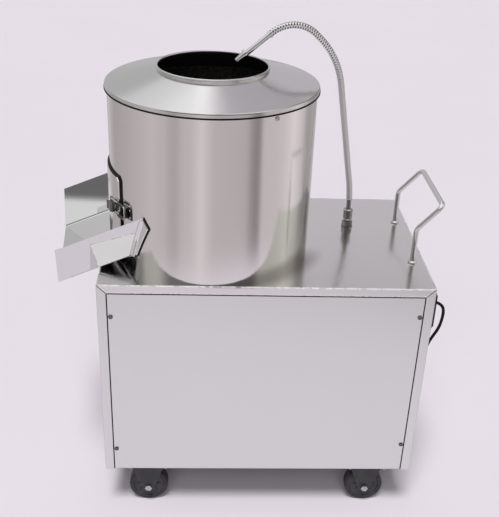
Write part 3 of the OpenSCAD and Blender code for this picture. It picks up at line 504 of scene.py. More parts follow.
class Finish:
    """A material under construction: its wiring, its shader and its object coordinates."""

    def __init__(self, name: str, **constants: Any) -> None:
        """Starts a material.

        Args:
            name: The material's name.
            **constants: Values of the shader's own sockets, with spaces as underscores.
        """
        self.material = bpy.data.materials.new(name)
        self.material.use_nodes = True
        self.w = Wiring(self.material.node_tree)
        self.shader = self.material.node_tree.nodes["Principled BSDF"]
        self.at = self.w.add("TexCoord").outputs["Object"]
        for label, value in constants.items():
            self.shader.inputs[label.replace("_", " ")].default_value = value

    def effect(self, effect: Effect, **inputs: Any) -> Any:
        """Places a shared effect in the material, on object coordinates where it takes a vector.

        Args:
            effect: Which one.
            **inputs: Its other inputs.

        Returns:
            The sockets that it puts out.
        """
        node = self.w.add("Group", node_tree=GROUPS[effect])
        if "Vector" in node.inputs:
            inputs["Vector"] = self.at
        for label, value in inputs.items():
            self.w.put(node.inputs[label], value)
        return node.outputs

    def mask(self, effect: Effect, **inputs: Any) -> Socket:
        """Places a shared effect and returns its mask."""
        return self.effect(effect, **inputs)["Mask"]

    def feed(self, label: str, value: Any) -> None:
        """Links or sets one of the shader's sockets."""
        self.w.put(self.shader.inputs[label], value)

    def rough(self, value: Any, low: float, high: float) -> None:
        """Feeds the roughness, from low to high as a value goes from 0 to 1."""
        self.feed("Roughness", self.w.fit(value, 0.0, 1.0, low, high))

    def bump(self, height: Any, strength: float, distance: float, edge: float = 0.0) -> None:
        """Feeds the shader's normal from a height, over rounded edges.

        Args:
            height: The height, from 0 to 1.
            strength: How much of the bump shows.
            distance: What a height of 1 is, in metres.
            edge: Radius of the rounded edges in metres, or 0 for none.
        """
        node = self.w.add("Bump", {"Strength": strength, "Distance": distance, "Height": height})
        if edge:
            self.w.put(node.inputs["Normal"], self.w.add("Bevel", {"Radius": edge}, samples=6).outputs[0])
        self.feed("Normal", node.outputs[0])

    def colour(self, base: Colour, *layers: tuple[Any, Colour]) -> None:
        """Feeds the base colour: a plain colour covered by masked ones.

        Args:
            base: The colour below.
            *layers: Masks, each with the colour that it shows.
        """
        value: Any = (*base, 1.0)
        for mask, tint in layers:
            value = self.w.mix(mask, value, (*tint, 1.0))
        self.feed("Base Color", value)


@dataclass(frozen=True)
class Stainless:
    """Stainless steel with brushed lines and wiped patches, and on some sheets a painted highlight along the edges and
    painted shade round the drum's foot.
    """

    name: str
    tint: Colour = (0.76, 0.752, 0.756)
    rough: float = 0.26
    stretch: Triple = (2.0, 2.0, 420.0)
    lines: float = 0.10
    smudge: float = 0.35
    relief: float = 0.05
    edge: float = 0.0
    # Painted highlight along rounded edges: a white, less metallic band; 0 for none
    wear_and_highlight: float = 0.0
    # Strength of the painted shade round the drum's foot
    foot: float = 0.0

    def material(self) -> Material:
        """Builds the material."""
        f = Finish(self.name, Metallic=1.0)
        lines = f.effect(Effect.BRUSHING, Stretch=self.stretch)["Lines"]
        marks = f.mask(Effect.SMUDGES, Scale=7.0, Amount=self.smudge)
        layers = [(f.w.times(lines, self.lines * 3.0, clamp=True), shade(self.tint, 0.86)),
                  (f.w.times(marks, 0.35), shade(self.tint, 0.93))]
        # Painted shade: the plate darker round the drum's foot, where drum and plate shade each other
        if self.foot:
            layers.append((f.mask(Effect.FOOT_SHADE, Amount=self.foot), FOOT_SHADE_TINT))
        # Painted highlight: a white, less metallic band along rounded edges, for the bright line on the top plate's
        # front fold
        if self.wear_and_highlight:
            wear_and_highlight = f.mask(Effect.BARE_AND_BRIGHT_EDGES, Amount=self.wear_and_highlight, Radius=0.0045)
            layers.append((wear_and_highlight, (1.0, 1.0, 1.0)))
            f.feed("Metallic", f.w.math("SUBTRACT", 1.0, f.w.times(wear_and_highlight, 0.9)))
        f.colour(self.tint, *layers)
        spread = min(0.15, self.lines * 1.5)
        rough = f.w.fit(lines, 0.3, 0.7, self.rough * (1 - spread), self.rough * (1 + spread))
        f.feed("Roughness", f.w.math("ADD", rough, f.w.times(marks, 0.06)))
        f.bump(lines, self.relief, 0.0004, self.edge)
        return f.material


@dataclass(frozen=True)
class Galvanised:
    """Sheet or fittings with a spangle of pale crystals."""

    name: str
    tint: Colour = (0.62, 0.63, 0.66)
    rough: float = 0.36
    scale: float = 260.0
    contrast: float = 0.4

    def material(self) -> Material:
        """Builds the material."""
        f = Finish(self.name, Metallic=1.0)
        grain = f.effect(Effect.GRIT, Scale=self.scale)
        f.colour(self.tint, (grain["Tone"], shade(self.tint, 1.0 - self.contrast)),
                 (f.mask(Effect.SMUDGES, Scale=30.0, Amount=0.5), shade(self.tint, 0.8)))
        f.rough(grain["Tone"], self.rough * 0.8, self.rough * 1.3)
        f.bump(grain["Height"], 0.08, 0.0003)
        return f.material


@dataclass(frozen=True)
class Paint:
    """Paint or enamel over metal, with orange peel, dust and bare edges."""

    name: str
    tint: Colour
    rough: float = 0.45
    metal: Colour = (0.5, 0.5, 0.52)
    wear: float = 0.6
    dust: float = 0.3
    peel: float = 180.0

    def material(self) -> Material:
        """Builds the material."""
        f = Finish(self.name, Specular_IOR_Level=0.5)
        # Here only real wear: bare metal where the paint's edges are rubbed
        wear_and_highlight = f.mask(Effect.BARE_AND_BRIGHT_EDGES, Amount=self.wear)
        marks = f.mask(Effect.SMUDGES, Scale=12.0, Amount=0.6)
        f.colour(self.tint, (marks, shade(self.tint, 0.8)), (f.mask(Effect.DUST, Amount=self.dust), PALE_DUST),
                 (wear_and_highlight, self.metal))
        f.feed("Metallic", f.w.times(wear_and_highlight, 0.9))
        f.rough(marks, self.rough, self.rough + 0.14)
        f.bump(f.w.noise(f.at, self.peel), 0.12, 0.0006)
        return f.material


@dataclass(frozen=True)
class Moulded:
    """Rubber or plastic with a fine skin, dust and slight wear."""

    name: str
    tint: Colour
    rough: float = 0.55
    skin: float = 900.0
    relief: float = 0.12
    dust: float = 0.25
    coat: float = 0.0
    shine: float = 0.45

    def material(self) -> Material:
        """Builds the material."""
        f = Finish(self.name, Specular_IOR_Level=self.shine, Coat_Weight=self.coat, Coat_Roughness=0.08)
        marks = f.mask(Effect.SMUDGES, Scale=25.0, Amount=0.7)
        lighter = tuple(min(1.0, c * 1.5 + 0.004) for c in self.tint)
        f.colour(self.tint, (marks, lighter), (f.mask(Effect.DUST, Amount=self.dust), GREY_DUST))
        f.rough(marks, self.rough, self.rough + 0.15)
        f.bump(f.effect(Effect.GRIT, Scale=self.skin)["Height"], self.relief, 0.0003)
        return f.material


@dataclass(frozen=True)
class Abrasive:
    """Coarse abrasive grains bonded on metal."""

    name: str
    # Near black: the grit's own dark colour, darkened further as painted shade for the drum's dark inside
    tint: Colour = (0.03, 0.028, 0.026)
    grain: Colour = (0.08, 0.075, 0.07)
    scale: float = 420.0

    def material(self) -> Material:
        """Builds the material."""
        f = Finish(self.name, Specular_IOR_Level=0.3)
        fine, coarse = (f.effect(Effect.GRIT, Scale=self.scale * share) for share in (1.0, 0.45))
        pale = f.w.fit(fine["Tone"], 0.72, 0.98)
        f.colour(self.tint, (coarse["Tone"], shade(self.tint, 0.55)), (pale, self.grain))
        f.feed("Metallic", f.w.times(pale, 0.2))
        f.rough(fine["Tone"], 0.45, 0.85)
        f.bump(f.w.math("ADD", fine["Height"], coarse["Height"]), 0.7, 0.0012)
        return f.material


@dataclass(frozen=True)
class Casting:
    """Cast iron or aluminium with a sandy skin and oily patches."""

    name: str
    tint: Colour = (0.16, 0.16, 0.165)
    rough: float = 0.6

    def material(self) -> Material:
        """Builds the material."""
        f = Finish(self.name, Metallic=0.55)
        oil = f.mask(Effect.SMUDGES, Scale=18.0, Amount=0.8)
        f.colour(self.tint, (oil, shade(self.tint, 0.6)), (f.mask(Effect.BARE_AND_BRIGHT_EDGES, Amount=0.8), BARE_IRON))
        f.rough(oil, self.rough, self.rough - 0.25)
        f.bump(f.effect(Effect.GRIT, Scale=700.0)["Height"], 0.35, 0.0006)
        return f.material


@dataclass(frozen=True)
class BraidedHose:
    """Steel wire braid on a hose, on the hose's own UV, with painted shade on the strand that passes under and in the
    hollows between the wires.
    """

    name: str
    turns: float
    strands: float
    wire: Colour = (0.97, 0.96, 0.97)
    # Painted shade: the strand that passes under is darker, and the hollows between the wires darker still
    under: Colour = (0.7, 0.7, 0.72)
    gap: Colour = (0.12, 0.118, 0.12)

    def material(self) -> Material:
        """Builds the material."""
        f = Finish(self.name, Metallic=1.0)
        uv = f.w.add("UVMap", uv_map="run").outputs[0]
        weave = f.effect(Effect.BRAID, UV=uv, Turns=self.turns, Strands=self.strands)
        valley = f.w.math("SUBTRACT", 1.0, weave["Height"], clamp=True)
        # Painted shade on the under strand and, by depth, in the hollows
        f.colour(self.wire, (f.w.times(weave["Over"], 0.2), self.under), (f.w.fit(valley, 0.25, 0.8), self.gap))
        f.rough(weave["Height"], 0.45, 0.18)
        f.bump(weave["Height"], 0.6, 0.0006)
        return f.material


class Finishes:
    """Builds each finish once and hands out its material."""

    PLAN: dict[str, Any] = {plan.name: plan for plan in (
        Stainless("front_steel", tint=(0.775, 0.79, 0.777), rough=0.30, lines=0.02, smudge=0.1, relief=0.003,
                  edge=0.0022),
        # Top plate: foot paints shade round the drum's foot; the edge amount of 3.0 paints a highlight along the front
        # fold
        Stainless("top_steel", tint=(0.80, 0.79, 0.79), rough=0.17, stretch=(2.0, 420.0, 2.0), lines=0.04,
                  smudge=0.4, relief=0.03, edge=0.0030, wear_and_highlight=3.0, foot=0.75),
        Stainless("drum_steel", tint=(0.82, 0.80, 0.80), rough=0.13, lines=0.05, smudge=0.25, relief=0.03),
        Stainless("cover_steel", tint=(0.70, 0.69, 0.695), rough=0.14, stretch=EVENLY, lines=0.05),
        Stainless("chute_steel", rough=0.025, stretch=(2.0, 300.0, 60.0), lines=0.06, smudge=0.1, relief=0.006,
                  edge=0.0012),
        # Dark tint as painted shade for the deep shadows in and round the latch; the panel screws and the bail's
        # springs share it
        Stainless("latch_steel", tint=(0.21, 0.205, 0.20), rough=0.20, stretch=EVENLY, lines=0.3, relief=0.15),
        Stainless("nut_steel", tint=(0.46, 0.45, 0.45), rough=0.14, stretch=(500.0, 500.0, 4.0), lines=0.35,
                  smudge=0.6, relief=0.25),
        Stainless("rod_steel", tint=(0.78, 0.775, 0.78), rough=0.10, stretch=EVENLY, lines=0.05, smudge=0.3),
        Stainless("tube_steel", tint=(0.70, 0.70, 0.70), rough=0.04, stretch=EVENLY, lines=0.03, smudge=0.1,
                  relief=0.01),
        Stainless("turned_steel", tint=(0.58, 0.575, 0.57), rough=0.28, stretch=(30.0, 30.0, 700.0), lines=0.2),
        Galvanised("zinc"),
        Paint("frame_paint", (0.085, 0.088, 0.095)),
        Paint("caster_paint", (0.020, 0.020, 0.022), rough=0.36, wear=0.5, dust=0.15),
        Paint("motor_paint", (0.10, 0.15, 0.20), rough=0.4, peel=140.0),
        Casting("cast_grey"),
        Abrasive("abrasive"),
        Moulded("rubber", (0.007, 0.007, 0.007), rough=0.62, dust=0.03, shine=0.2),
        # Black for the panel seams, the mitres and the cover's lip: painted shade standing in for shaded gaps
        Moulded("shadow_seal", (0.004, 0.004, 0.004), rough=0.7, relief=0.06, dust=0.01, shine=0.1),
        Moulded("tread", (0.018, 0.018, 0.02), rough=0.6, dust=0.3),
        Moulded("hub_plastic", (0.03, 0.03, 0.033), rough=0.42, dust=0.25),
        Moulded("cord_jacket", (0.005, 0.005, 0.005), rough=0.5, relief=0.05, dust=0.02, shine=0.15),
        Moulded("black_plastic", (0.02, 0.02, 0.022), rough=0.42, relief=0.2),
        Moulded("green_cap", (0.02, 0.30, 0.08), rough=0.25, relief=0.04, coat=0.5, dust=0.1),
        Moulded("red_cap", (0.55, 0.02, 0.02), rough=0.25, relief=0.04, coat=0.5, dust=0.1))}
    made: dict[str, Material] = {}

    @classmethod
    def get(cls, name: str) -> Material:
        """Returns a finish's material, built on its first use."""
        if name not in cls.made:
            cls.made[name] = cls.PLAN[name].material()
        return cls.made[name]


def dress(finish: str, *nodes: str) -> None:
    """Gives CAD nodes a finish.

    Args:
        finish: The finish's name.
        *nodes: The nodes.
    """
    for name in nodes:
        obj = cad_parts[name]
        if not obj.material_slots:
            obj.data.materials.append(Finishes.get(finish))
        for holder in obj.material_slots:
            holder.material = Finishes.get(finish)
        log.info("%s: %s", name, finish)


# ---- studio

@dataclass
class Studio:
    """Camera, floor, world and lamps."""

    eye: Triple = (205.2775, -1331.6491, 1294.5021)
    yaw: float = 0.0532566
    pitch: float = 0.4830840
    roll: float = 0.0398910
    lens_px: float = 842.48834
    width_px: float = 499.0
    sensor: float = 36.0
    pale: Colour = (0.775, 0.716, 0.783)
    fill: Colour = (0.22, 0.218, 0.22)
    side_level: Colour = (0.75, 0.75, 0.75)
    floor_half: float = 9.0
    # Name and strength, then width, tip and turn in degrees
    suns: tuple[tuple[str, float, float, float, float], ...] = (("key", 2.25, 18.0, 21.0, -14.0),
                                                                ("front", 0.8, 40.0, 55.0, -6.0))

    def camera(self) -> None:
        """Makes the scene's camera from its yaw, pitch and roll."""
        cy, sy, cp, sp = math.cos(self.yaw), math.sin(self.yaw), math.cos(self.pitch), math.sin(self.pitch)
        ahead = np.array([sy * cp, cy * cp, -sp])
        side = np.array([cy, -sy, 0.0])
        over = np.cross(side, ahead)
        right = math.cos(self.roll) * side + math.sin(self.roll) * over
        up = -math.sin(self.roll) * side + math.cos(self.roll) * over
        data = bpy.data.cameras.new("camera")
        data.sensor_fit = "HORIZONTAL"
        data.sensor_width = self.sensor
        data.lens = self.lens_px / self.width_px * self.sensor
        data.clip_end = 60.0
        turn = np.eye(4)
        turn[:3, 0], turn[:3, 1], turn[:3, 2], turn[:3, 3] = right, up, -ahead, row(self.eye)
        camera = bpy.context.scene.camera = add_object("camera", data)
        camera.matrix_world = Matrix(turn.tolist())

    @staticmethod
    def around(w: Wiring, x: Any, y: Any, tint: Colour = (1.0, 1.0, 0.92)) -> Socket:
        """The room round the machine: a ramp of soft bands by compass direction.

        Args:
            w: The wiring to add it to.
            x: The direction's part to the right.
            y: The direction's part to the back.
            tint: The colour of the bands.

        Returns:
            The room's colour there.
        """
        turn = w.times(w.math("ARCTAN2", y, x), 180.0 / math.pi)
        tones = ((-180, 0.66), (-155, 0.76), (-147, 0.72), (-140, 0.71), (-134, 0.60), (-127, 0.58),
                 (-120, 0.72), (-113, 0.74), (-107, 0.81), (-100, 0.94), (-94, 0.80), (-87, 0.69),
                 (-60, 0.66), (-53, 0.62), (-49, 0.47), (-42, 0.32), (-38, 0.44), (-35, 0.77), (-17, 0.79),
                 (-8, 0.85), (1, 0.95), (7, 1.05), (16, 0.90), (23, 0.80), (31, 0.54), (38, 0.48), (50, 0.55),
                 (62, 0.62), (106, 0.62), (119, 0.76), (142, 0.54), (180, 0.66))
        return w.tones(turn, tones, tint)

    def floor(self) -> None:
        """Makes the pale floor, whose far part mirrors as the room's soft bands."""
        grid = np.linspace(-self.floor_half, self.floor_half, 3)
        mesh = bpy.data.meshes.new("floor")
        faces, _ = patch_faces(Patch(np.zeros((3, 3, 3)), wrap_v=False), 0)
        mesh.from_pydata(xyz(grid[:, None], grid, 0.0).reshape(-1, 3), [], faces)
        f = Finish("floor_paper", Roughness=0.9, Specular_IOR_Level=0.05)
        x, y, _ = f.w.from_drum(f.at)
        tone = self.around(f.w, x, y)
        far = f.w.fit(f.w.vector("LENGTH", f.at, out="Value"), 1.1, 1.4)
        mask = f.w.times(far, f.w.add("LightPath").outputs["Is Glossy Ray"])
        paper = f.w.mix(f.w.fit(f.w.noise(f.at, 1.3), 0.3, 0.7), (*self.pale, 1.0), (*shade(self.pale, 0.985), 1.0))
        f.feed("Base Color", f.w.mix(mask, paper, f.w.mix(1.0, paper, tone, "MULTIPLY")))
        mesh.materials.append(f.material)
        add_object("floor", mesh)

    @staticmethod
    def behind(w: Wiring, x: Any, y: Any, z: Any) -> Socket:
        """The room behind the machine: an even wall, and to the left a bright tall window.

        Args:
            w: The wiring to add it to.
            x: The direction's part to the right.
            y: The direction's part to the back.
            z: The direction's part upwards.

        Returns:
            The room's colour there.
        """
        lean = w.math("DIVIDE", x, w.math("MAXIMUM", y, 0.02))
        wall = w.tones(z, ((0.0, 0.55), (0.30, 0.60), (0.40, 0.625), (0.455, 0.60), (0.48, 0.51), (0.72, 0.54),
                           (0.9, 1.0)), (1.0, 0.945, 1.0))
        wall = w.mix(w.fit(lean, 0.34, 0.55), wall, (0.27, 0.26, 0.25, 1.0))
        window = w.tones(z, ((0.0, 0.53), (0.47, 0.55), (0.53, 0.80), (0.66, 0.90), (0.70, 1.10), (0.9, 1.14)))
        tone = w.mix(w.fit(lean, 0.10, -0.05), wall, window)
        near_line = w.fit(w.math("ABSOLUTE", w.math("ADD", lean, 0.06)), 0.05, 0.02)
        return w.mix(w.times(near_line, w.fit(z, 0.45, 0.52)), tone, (1.25, 1.25, 1.25, 1.0))

    def world(self) -> None:
        """Makes the room's light: even for diffuse surfaces, graded and banded for glossy ones."""
        world = bpy.context.scene.world = bpy.data.worlds.new("room")
        world.use_nodes = True
        world.node_tree.nodes.clear()
        w = Wiring(world.node_tree)
        x, y, z = w.add("SeparateXYZ", {0: w.add("TexCoord").outputs["Generated"]}).outputs
        ray = w.add("LightPath").outputs
        facing = w.math("DIVIDE", y, w.math("MAXIMUM", w.reach(x, y), 0.001))
        sides = w.mix(w.fit(z, 0.55, 0.75), w.mix(1.0, (*self.side_level, 1.0), self.around(w, x, y), "MULTIPLY"),
                      w.tones(z, ((0.6, 0.62), (0.78, 0.72), (0.88, 0.96), (1.0, 1.0))))
        front = w.tones(z, ((-0.1, 0.70), (0.0, 0.84), (0.1410, 0.84), (0.1440, 0.17), (0.60, 0.17), (0.665, 0.80),
                            (0.77, 0.86), (0.83, 1.08), (0.92, 1.18)))
        glossy = w.mix(w.fit(facing, -0.45, -0.72), sides, front)
        glossy = w.mix(w.fit(facing, 0.45, 0.72), glossy, self.behind(w, x, y, z))
        plain = w.mix(ray["Is Camera Ray"], (*self.fill, 1.0), (*self.pale, 1.0))
        shiny = w.math("MAXIMUM", ray["Is Glossy Ray"], ray["Is Transmission Ray"])
        light = w.add("Background", {"Color": w.mix(shiny, plain, glossy), "Strength": 1.0}).outputs[0]
        w.add("OutputWorld", {0: light})

    def lamps(self) -> None:
        """Adds a wide soft sun from above and a low one from the front; metal mirrors the room, not the suns."""
        for name, strength, angle, tip, turn in self.suns:
            data = bpy.data.lights.new(name, "SUN")
            data.energy, data.angle = strength, math.radians(angle)
            lamp = add_object(name, data)
            lamp.rotation_euler = (math.radians(tip), 0.0, math.radians(turn))
            lamp.visible_glossy = False

    def build(self) -> None:
        """Sets the whole studio up."""
        self.camera()
        self.floor()
        self.world()
        self.lamps()
        bpy.context.scene.view_settings.view_transform = "Standard"


# ---- power cord

@dataclass
class PowerCord:
    """The mains cord: its loop at the gland, its fall, its coil behind the cabinet, and its plug."""

    radius: float = 3.0
    inside: float = 633.0
    coil_centre: Pair = (400.0, 480.0)
    coil_radius: float = 45.0
    coil_turns: float = 3.0
    route: tuple[Triple, ...] = (
        (638, 60, 474), (643.5, 60, 473.7), (648.4, 60, 472.3), (655.6, 60, 467.6), (660.3, 60.2, 460.4),
        (662, 60.6, 452), (662.4, 61.4, 443), (662, 63, 431), (660.6, 65, 418), (657.6, 67.4, 405), (652.6, 70, 391),
        (647, 73, 374), (642, 78, 348), (638.4, 85, 312), (636.4, 94, 268), (635.8, 106, 212), (636, 120, 150),
        (637, 138, 84), (638, 157, 40), (639, 182, 12), (640, 214, 4), (640, 260, 3.1), (641, 320, 3.1),
        (640, 380, 3.1), (635, 432, 3.1), (618, 482, 3.1), (586, 514, 3.1), (540, 528, 3.1), (490, 529, 3.1),
        (440, 527, 3.1), (424, 526, 3.1), (400, 525, 3.1))
    plug_end: Triple = (356.0, 507.0, 11.0)

    def path(self) -> np.ndarray:
        """The cord's line: a spline to the floor, a flat spiral whose radius falls by one cord a turn, and a
        tail that rises over the turns to the plug.

        Returns:
            Points 4 mm apart.
        """
        turn = np.linspace(0, 2 * np.pi * self.coil_turns, 220)
        r = self.coil_radius - 2 * self.radius * turn / (2 * np.pi)
        rise = np.clip((turn - turn[-1] + 2.4) / 2.4, 0, 1)
        cx, cy = self.coil_centre
        low, high = self.route[-1][2], self.plug_end[2] - 1.5
        up = low + (high - low) * rise ** 2 * (3 - 2 * rise)
        coil = np.stack([cx - r * np.sin(turn), cy + r * np.cos(turn), up], -1)
        k = np.linspace(0, 1, 24)[1:, None]
        end = np.array(self.plug_end)
        tail = coil[-1] + (end - coil[-1]) * np.concatenate([k, k, k ** 2 * (3 - 2 * k)], 1)
        return even_line(np.concatenate([smooth_line(self.route, 10), coil[1:], tail]), 4.0)

    def plug(self) -> bpy.types.Object:
        """The plug: rounded-square rings along its body, a ribbed tail and two round pins."""
        x0, y0, z0 = self.plug_end
        # How far along the body, half width, half height and squareness
        far, wide, tall, square = np.array([
            (0, 4.6, 4.6, 2.0), (2, 5.2, 5.2, 2.0), (3, 4.4, 4.4, 2.0), (5, 4.6, 4.6, 2.0), (6, 5.8, 5.8, 2.0),
            (7, 5.8, 5.8, 2.0), (8, 4.9, 4.9, 2.0), (10, 5.1, 5.1, 2.0), (11, 6.6, 6.4, 2.0), (12, 7.5, 7.0, 2.2),
            (16, 14.0, 9.0, 3.0), (20, 17.0, 10.4, 4.0), (26, 17.8, 10.9, 5.0), (40, 17.8, 10.9, 5.0),
            (42.5, 17.3, 10.5, 5.0), (44, 15.8, 9.4, 5.0), (44, 0.0, 0.0, 5.0)]).T[..., None]
        across, up = rounded_square(circle(40), 2.0 / square)
        body = row(xyz(x0 - far, y0 + wide * across, z0 + tall * up))
        tail = np.broadcast_to(body[:1].mean(1, keepdims=True), body[:1].shape)
        pins = [lathe([(0, 0), (2.4, 0), (2.4, 14), (2.2, 17), (1.2, 18.6), (0, 19)],
                      (x0 - 43.9, y0 + side * 9.5, z0), LEFT, 20, slot=1) for side in (-1, 1)]
        return make_piece("plug_body", [Patch(np.concatenate([tail, body]))] + pins,
                          ["black_plastic", "turned_steel"], replaces=["plug"])

    def build(self) -> None:
        path = self.path()
        line = np.concatenate([[(self.inside, *path[0, 1:])], path])
        side = np.where((np.abs(np.gradient(line[:, 2])) > 2.8)[:, None], (0.2, 0.97, 0.15), (0.05, 0.1, 1.0))
        blend = np.cumsum(side, axis=0)
        side = np.concatenate([side[:6], (blend[12:] - blend[:-12]) / 12, side[-6:]])
        grid = closed_ends(tube(line, self.radius, side, 14))
        obj = make_piece("cord", [Patch(grid)], ["cord_jacket"], replaces=["power_cord", "cord_coil"])
        plug = self.plug()
        tuple(row(self.route[0]))
        row(path).tolist()


# ---- fasteners

class Fasteners:
    """Small heads that are only in the looks: rivets, hexagon bolts and washers."""

    @staticmethod
    def rivet(at: Numbers, axis: Numbers, r: float = 2.0, h: float = 0.9) -> Patch:
        """A domed head: radius r cos t and height h sin t, from its rim to its middle.

        Args:
            at: Where it stands, in millimetres from the cabinet's corner.
            axis: The way that it faces.
            r: Radius of the head.
            h: Height of the head.

        Returns:
            Its grid.
        """
        t = np.linspace(0, np.pi / 2, 6)
        return lathe([(0, -0.2), (r, -0.2), *zip(r * np.cos(t), h * np.sin(t))], at, axis, 16)

    @staticmethod
    def bolt(at: Numbers, axis: Numbers, across: float = 13.0, h: float = 5.3) -> list[Patch]:
        """A chamfered hexagon head on a washer.

        Args:
            at: Where it stands, in millimetres from the cabinet's corner.
            axis: The way that it faces.
            across: Width across the flats.
            h: Height of the head.

        Returns:
            The grids of the washer and the head.
        """
        r = across / 2 / math.cos(math.pi / 6)
        rim, edge = across * 0.86, across * 0.82
        washer = [(0, -0.2), (edge, -0.2), (rim, 0.2), (rim, 1.2), (edge, 1.5), (0, 1.5)]
        head = [(0, 1.4), (r * 0.97, 1.4), (r, 1.8), (r, 1.5 + h * 0.82), (r * 0.88, 1.5 + h), (0, 1.5 + h)]
        return [lathe(washer, at, axis, 28), lathe(head, at, axis, 6)]

    @classmethod
    def bolt_circle(cls, count: int, centre: Numbers, radius: float, z: float, axis: Numbers) -> list[Patch]:
        """Bolts at equal steps round a circle, the first one half a step round.

        Args:
            count: How many.
            centre: The circle's middle.
            radius: Its radius.
            z: Height of the face that they stand on.
            axis: The way that they face.

        Returns:
            Their grids.
        """
        turns = [math.radians(180 / count * (1 + 2 * k)) for k in range(count)]
        return [patch for a in turns for patch in
                cls.bolt((centre[0] + radius * math.cos(a), centre[1] + radius * math.sin(a), z), axis)]


# ---- sub-assemblies

@dataclass
class Cabinet:
    """The cabinet's sheets, its frame, the louvres' hoods and the caster plates' bolts."""

    length: float = CABINET[0]
    depth: float = CABINET[1]
    foot: float = 106.0
    fold: float = 17.0
    gap: float = 1.0
    hoods: int = 6
    hood_foot: float = 297.0
    hood_pitch: float = 16.0
    hood_half: float = 48.0
    hood_out: float = 4.2
    hood_drop: float = 8.5
    hood_sheet: float = 0.8
    plate_holes: Pair = (35.5, 25.0)
    plate_foot: float = 102.5

    def louvres(self) -> None:
        """Hoods over the back panel's slots: a quarter ellipse swept across each slot, outside and inside."""
        u, t = np.linspace(-1, 1, 25)[:, None], np.linspace(0, np.pi / 2, 9)
        swell = np.sqrt(np.clip(1 - np.abs(u) ** 6, 0, 1))
        patches = []
        for k in range(self.hoods):
            for inset in (0.0, self.hood_sheet):
                y = self.depth - 0.4 + swell * (self.hood_out - inset) * np.sin(t)
                z = self.hood_foot + self.hood_pitch * k + self.hood_drop * np.cos(t) * swell - inset
                patches.append(Patch(row(xyz(MOTOR[0] + u * (self.hood_half - inset), y, z)), wrap_v=False))
        make_piece("louvre_hoods", patches, ["front_steel"])

    def caster_bolts(self) -> None:
        """Four bolts under each caster plate."""
        middles = product(*((inset, size - inset) for inset, size in zip(CASTER_INSET, CABINET)))
        holes = list(product(*((-hole, hole) for hole in self.plate_holes)))
        patches = [patch for x, y in middles for dx, dy in holes
                   for patch in Fasteners.bolt((x + dx, y + dy, self.plate_foot), DOWN, across=8.0, h=4.0)]
        make_piece("caster_plate_bolts", patches, ["zinc"], sharp=25.0)

    def seam_shades(self) -> None:
        """Painted shade in the cabinet's seams: a black round-cornered strip in the gap round each inset panel, with a
        lip over the panel, for the shaded gap; and across each folded edge's mitre a low black bead, for the shaded
        joint.
        """
        across, out = rounded_square(circle(16), 0.4)
        inward, deep = 1.2 + 1.1 * across, 1.1 + 1.15 * out
        foot, top = self.foot + self.gap, PLATE_TOP - self.fold
        half, t = np.linspace(0, np.pi, 9), np.linspace(0.03, 0.99, 12)[:, None]
        wide = 0.5 * np.cos(half)
        gap_shades, joint_shades = [], []
        for face, way in ((0.0, 1.0), (self.depth, -1.0)):
            left, right = (self.fold, 1), (self.length - self.fold, -1)
            corners = ((left, foot, 0), (left, top, 1), (right, top, 1), (right, foot, 0))
            gap_shades.append(loft([xyz(x + into * inward, face + way * deep, z - down * inward)
                                for (x, into), z, down in corners]))
            for x, into in ((0.0, 1), (self.length, -1)):
                joint_shades.append(loft(xyz(x + into * (self.fold * t + wide), face - way * (0.12 * np.sin(half) - 0.05),
                                      PLATE_TOP - self.fold * t + wide)))
        make_piece("panel_seam_shades", gap_shades, ["shadow_seal"], sharp=60.0)
        make_piece("mitre_joint_shades", joint_shades, ["shadow_seal"])

    def build(self) -> None:
        """Dresses the sheets and the frame and adds the small pieces."""
        dress("front_steel", "front_panel", "back_panel", "left_side", "right_side")
        dress("top_steel", "top_plate")
        dress("frame_paint", "base_frame", "motor_plate")
        # The panel screws' heads take the latch's dark tint: painted shade for their dark look
        dress("latch_steel", "panel_screws")
        self.louvres()
        self.seam_shades()
        self.caster_bolts()


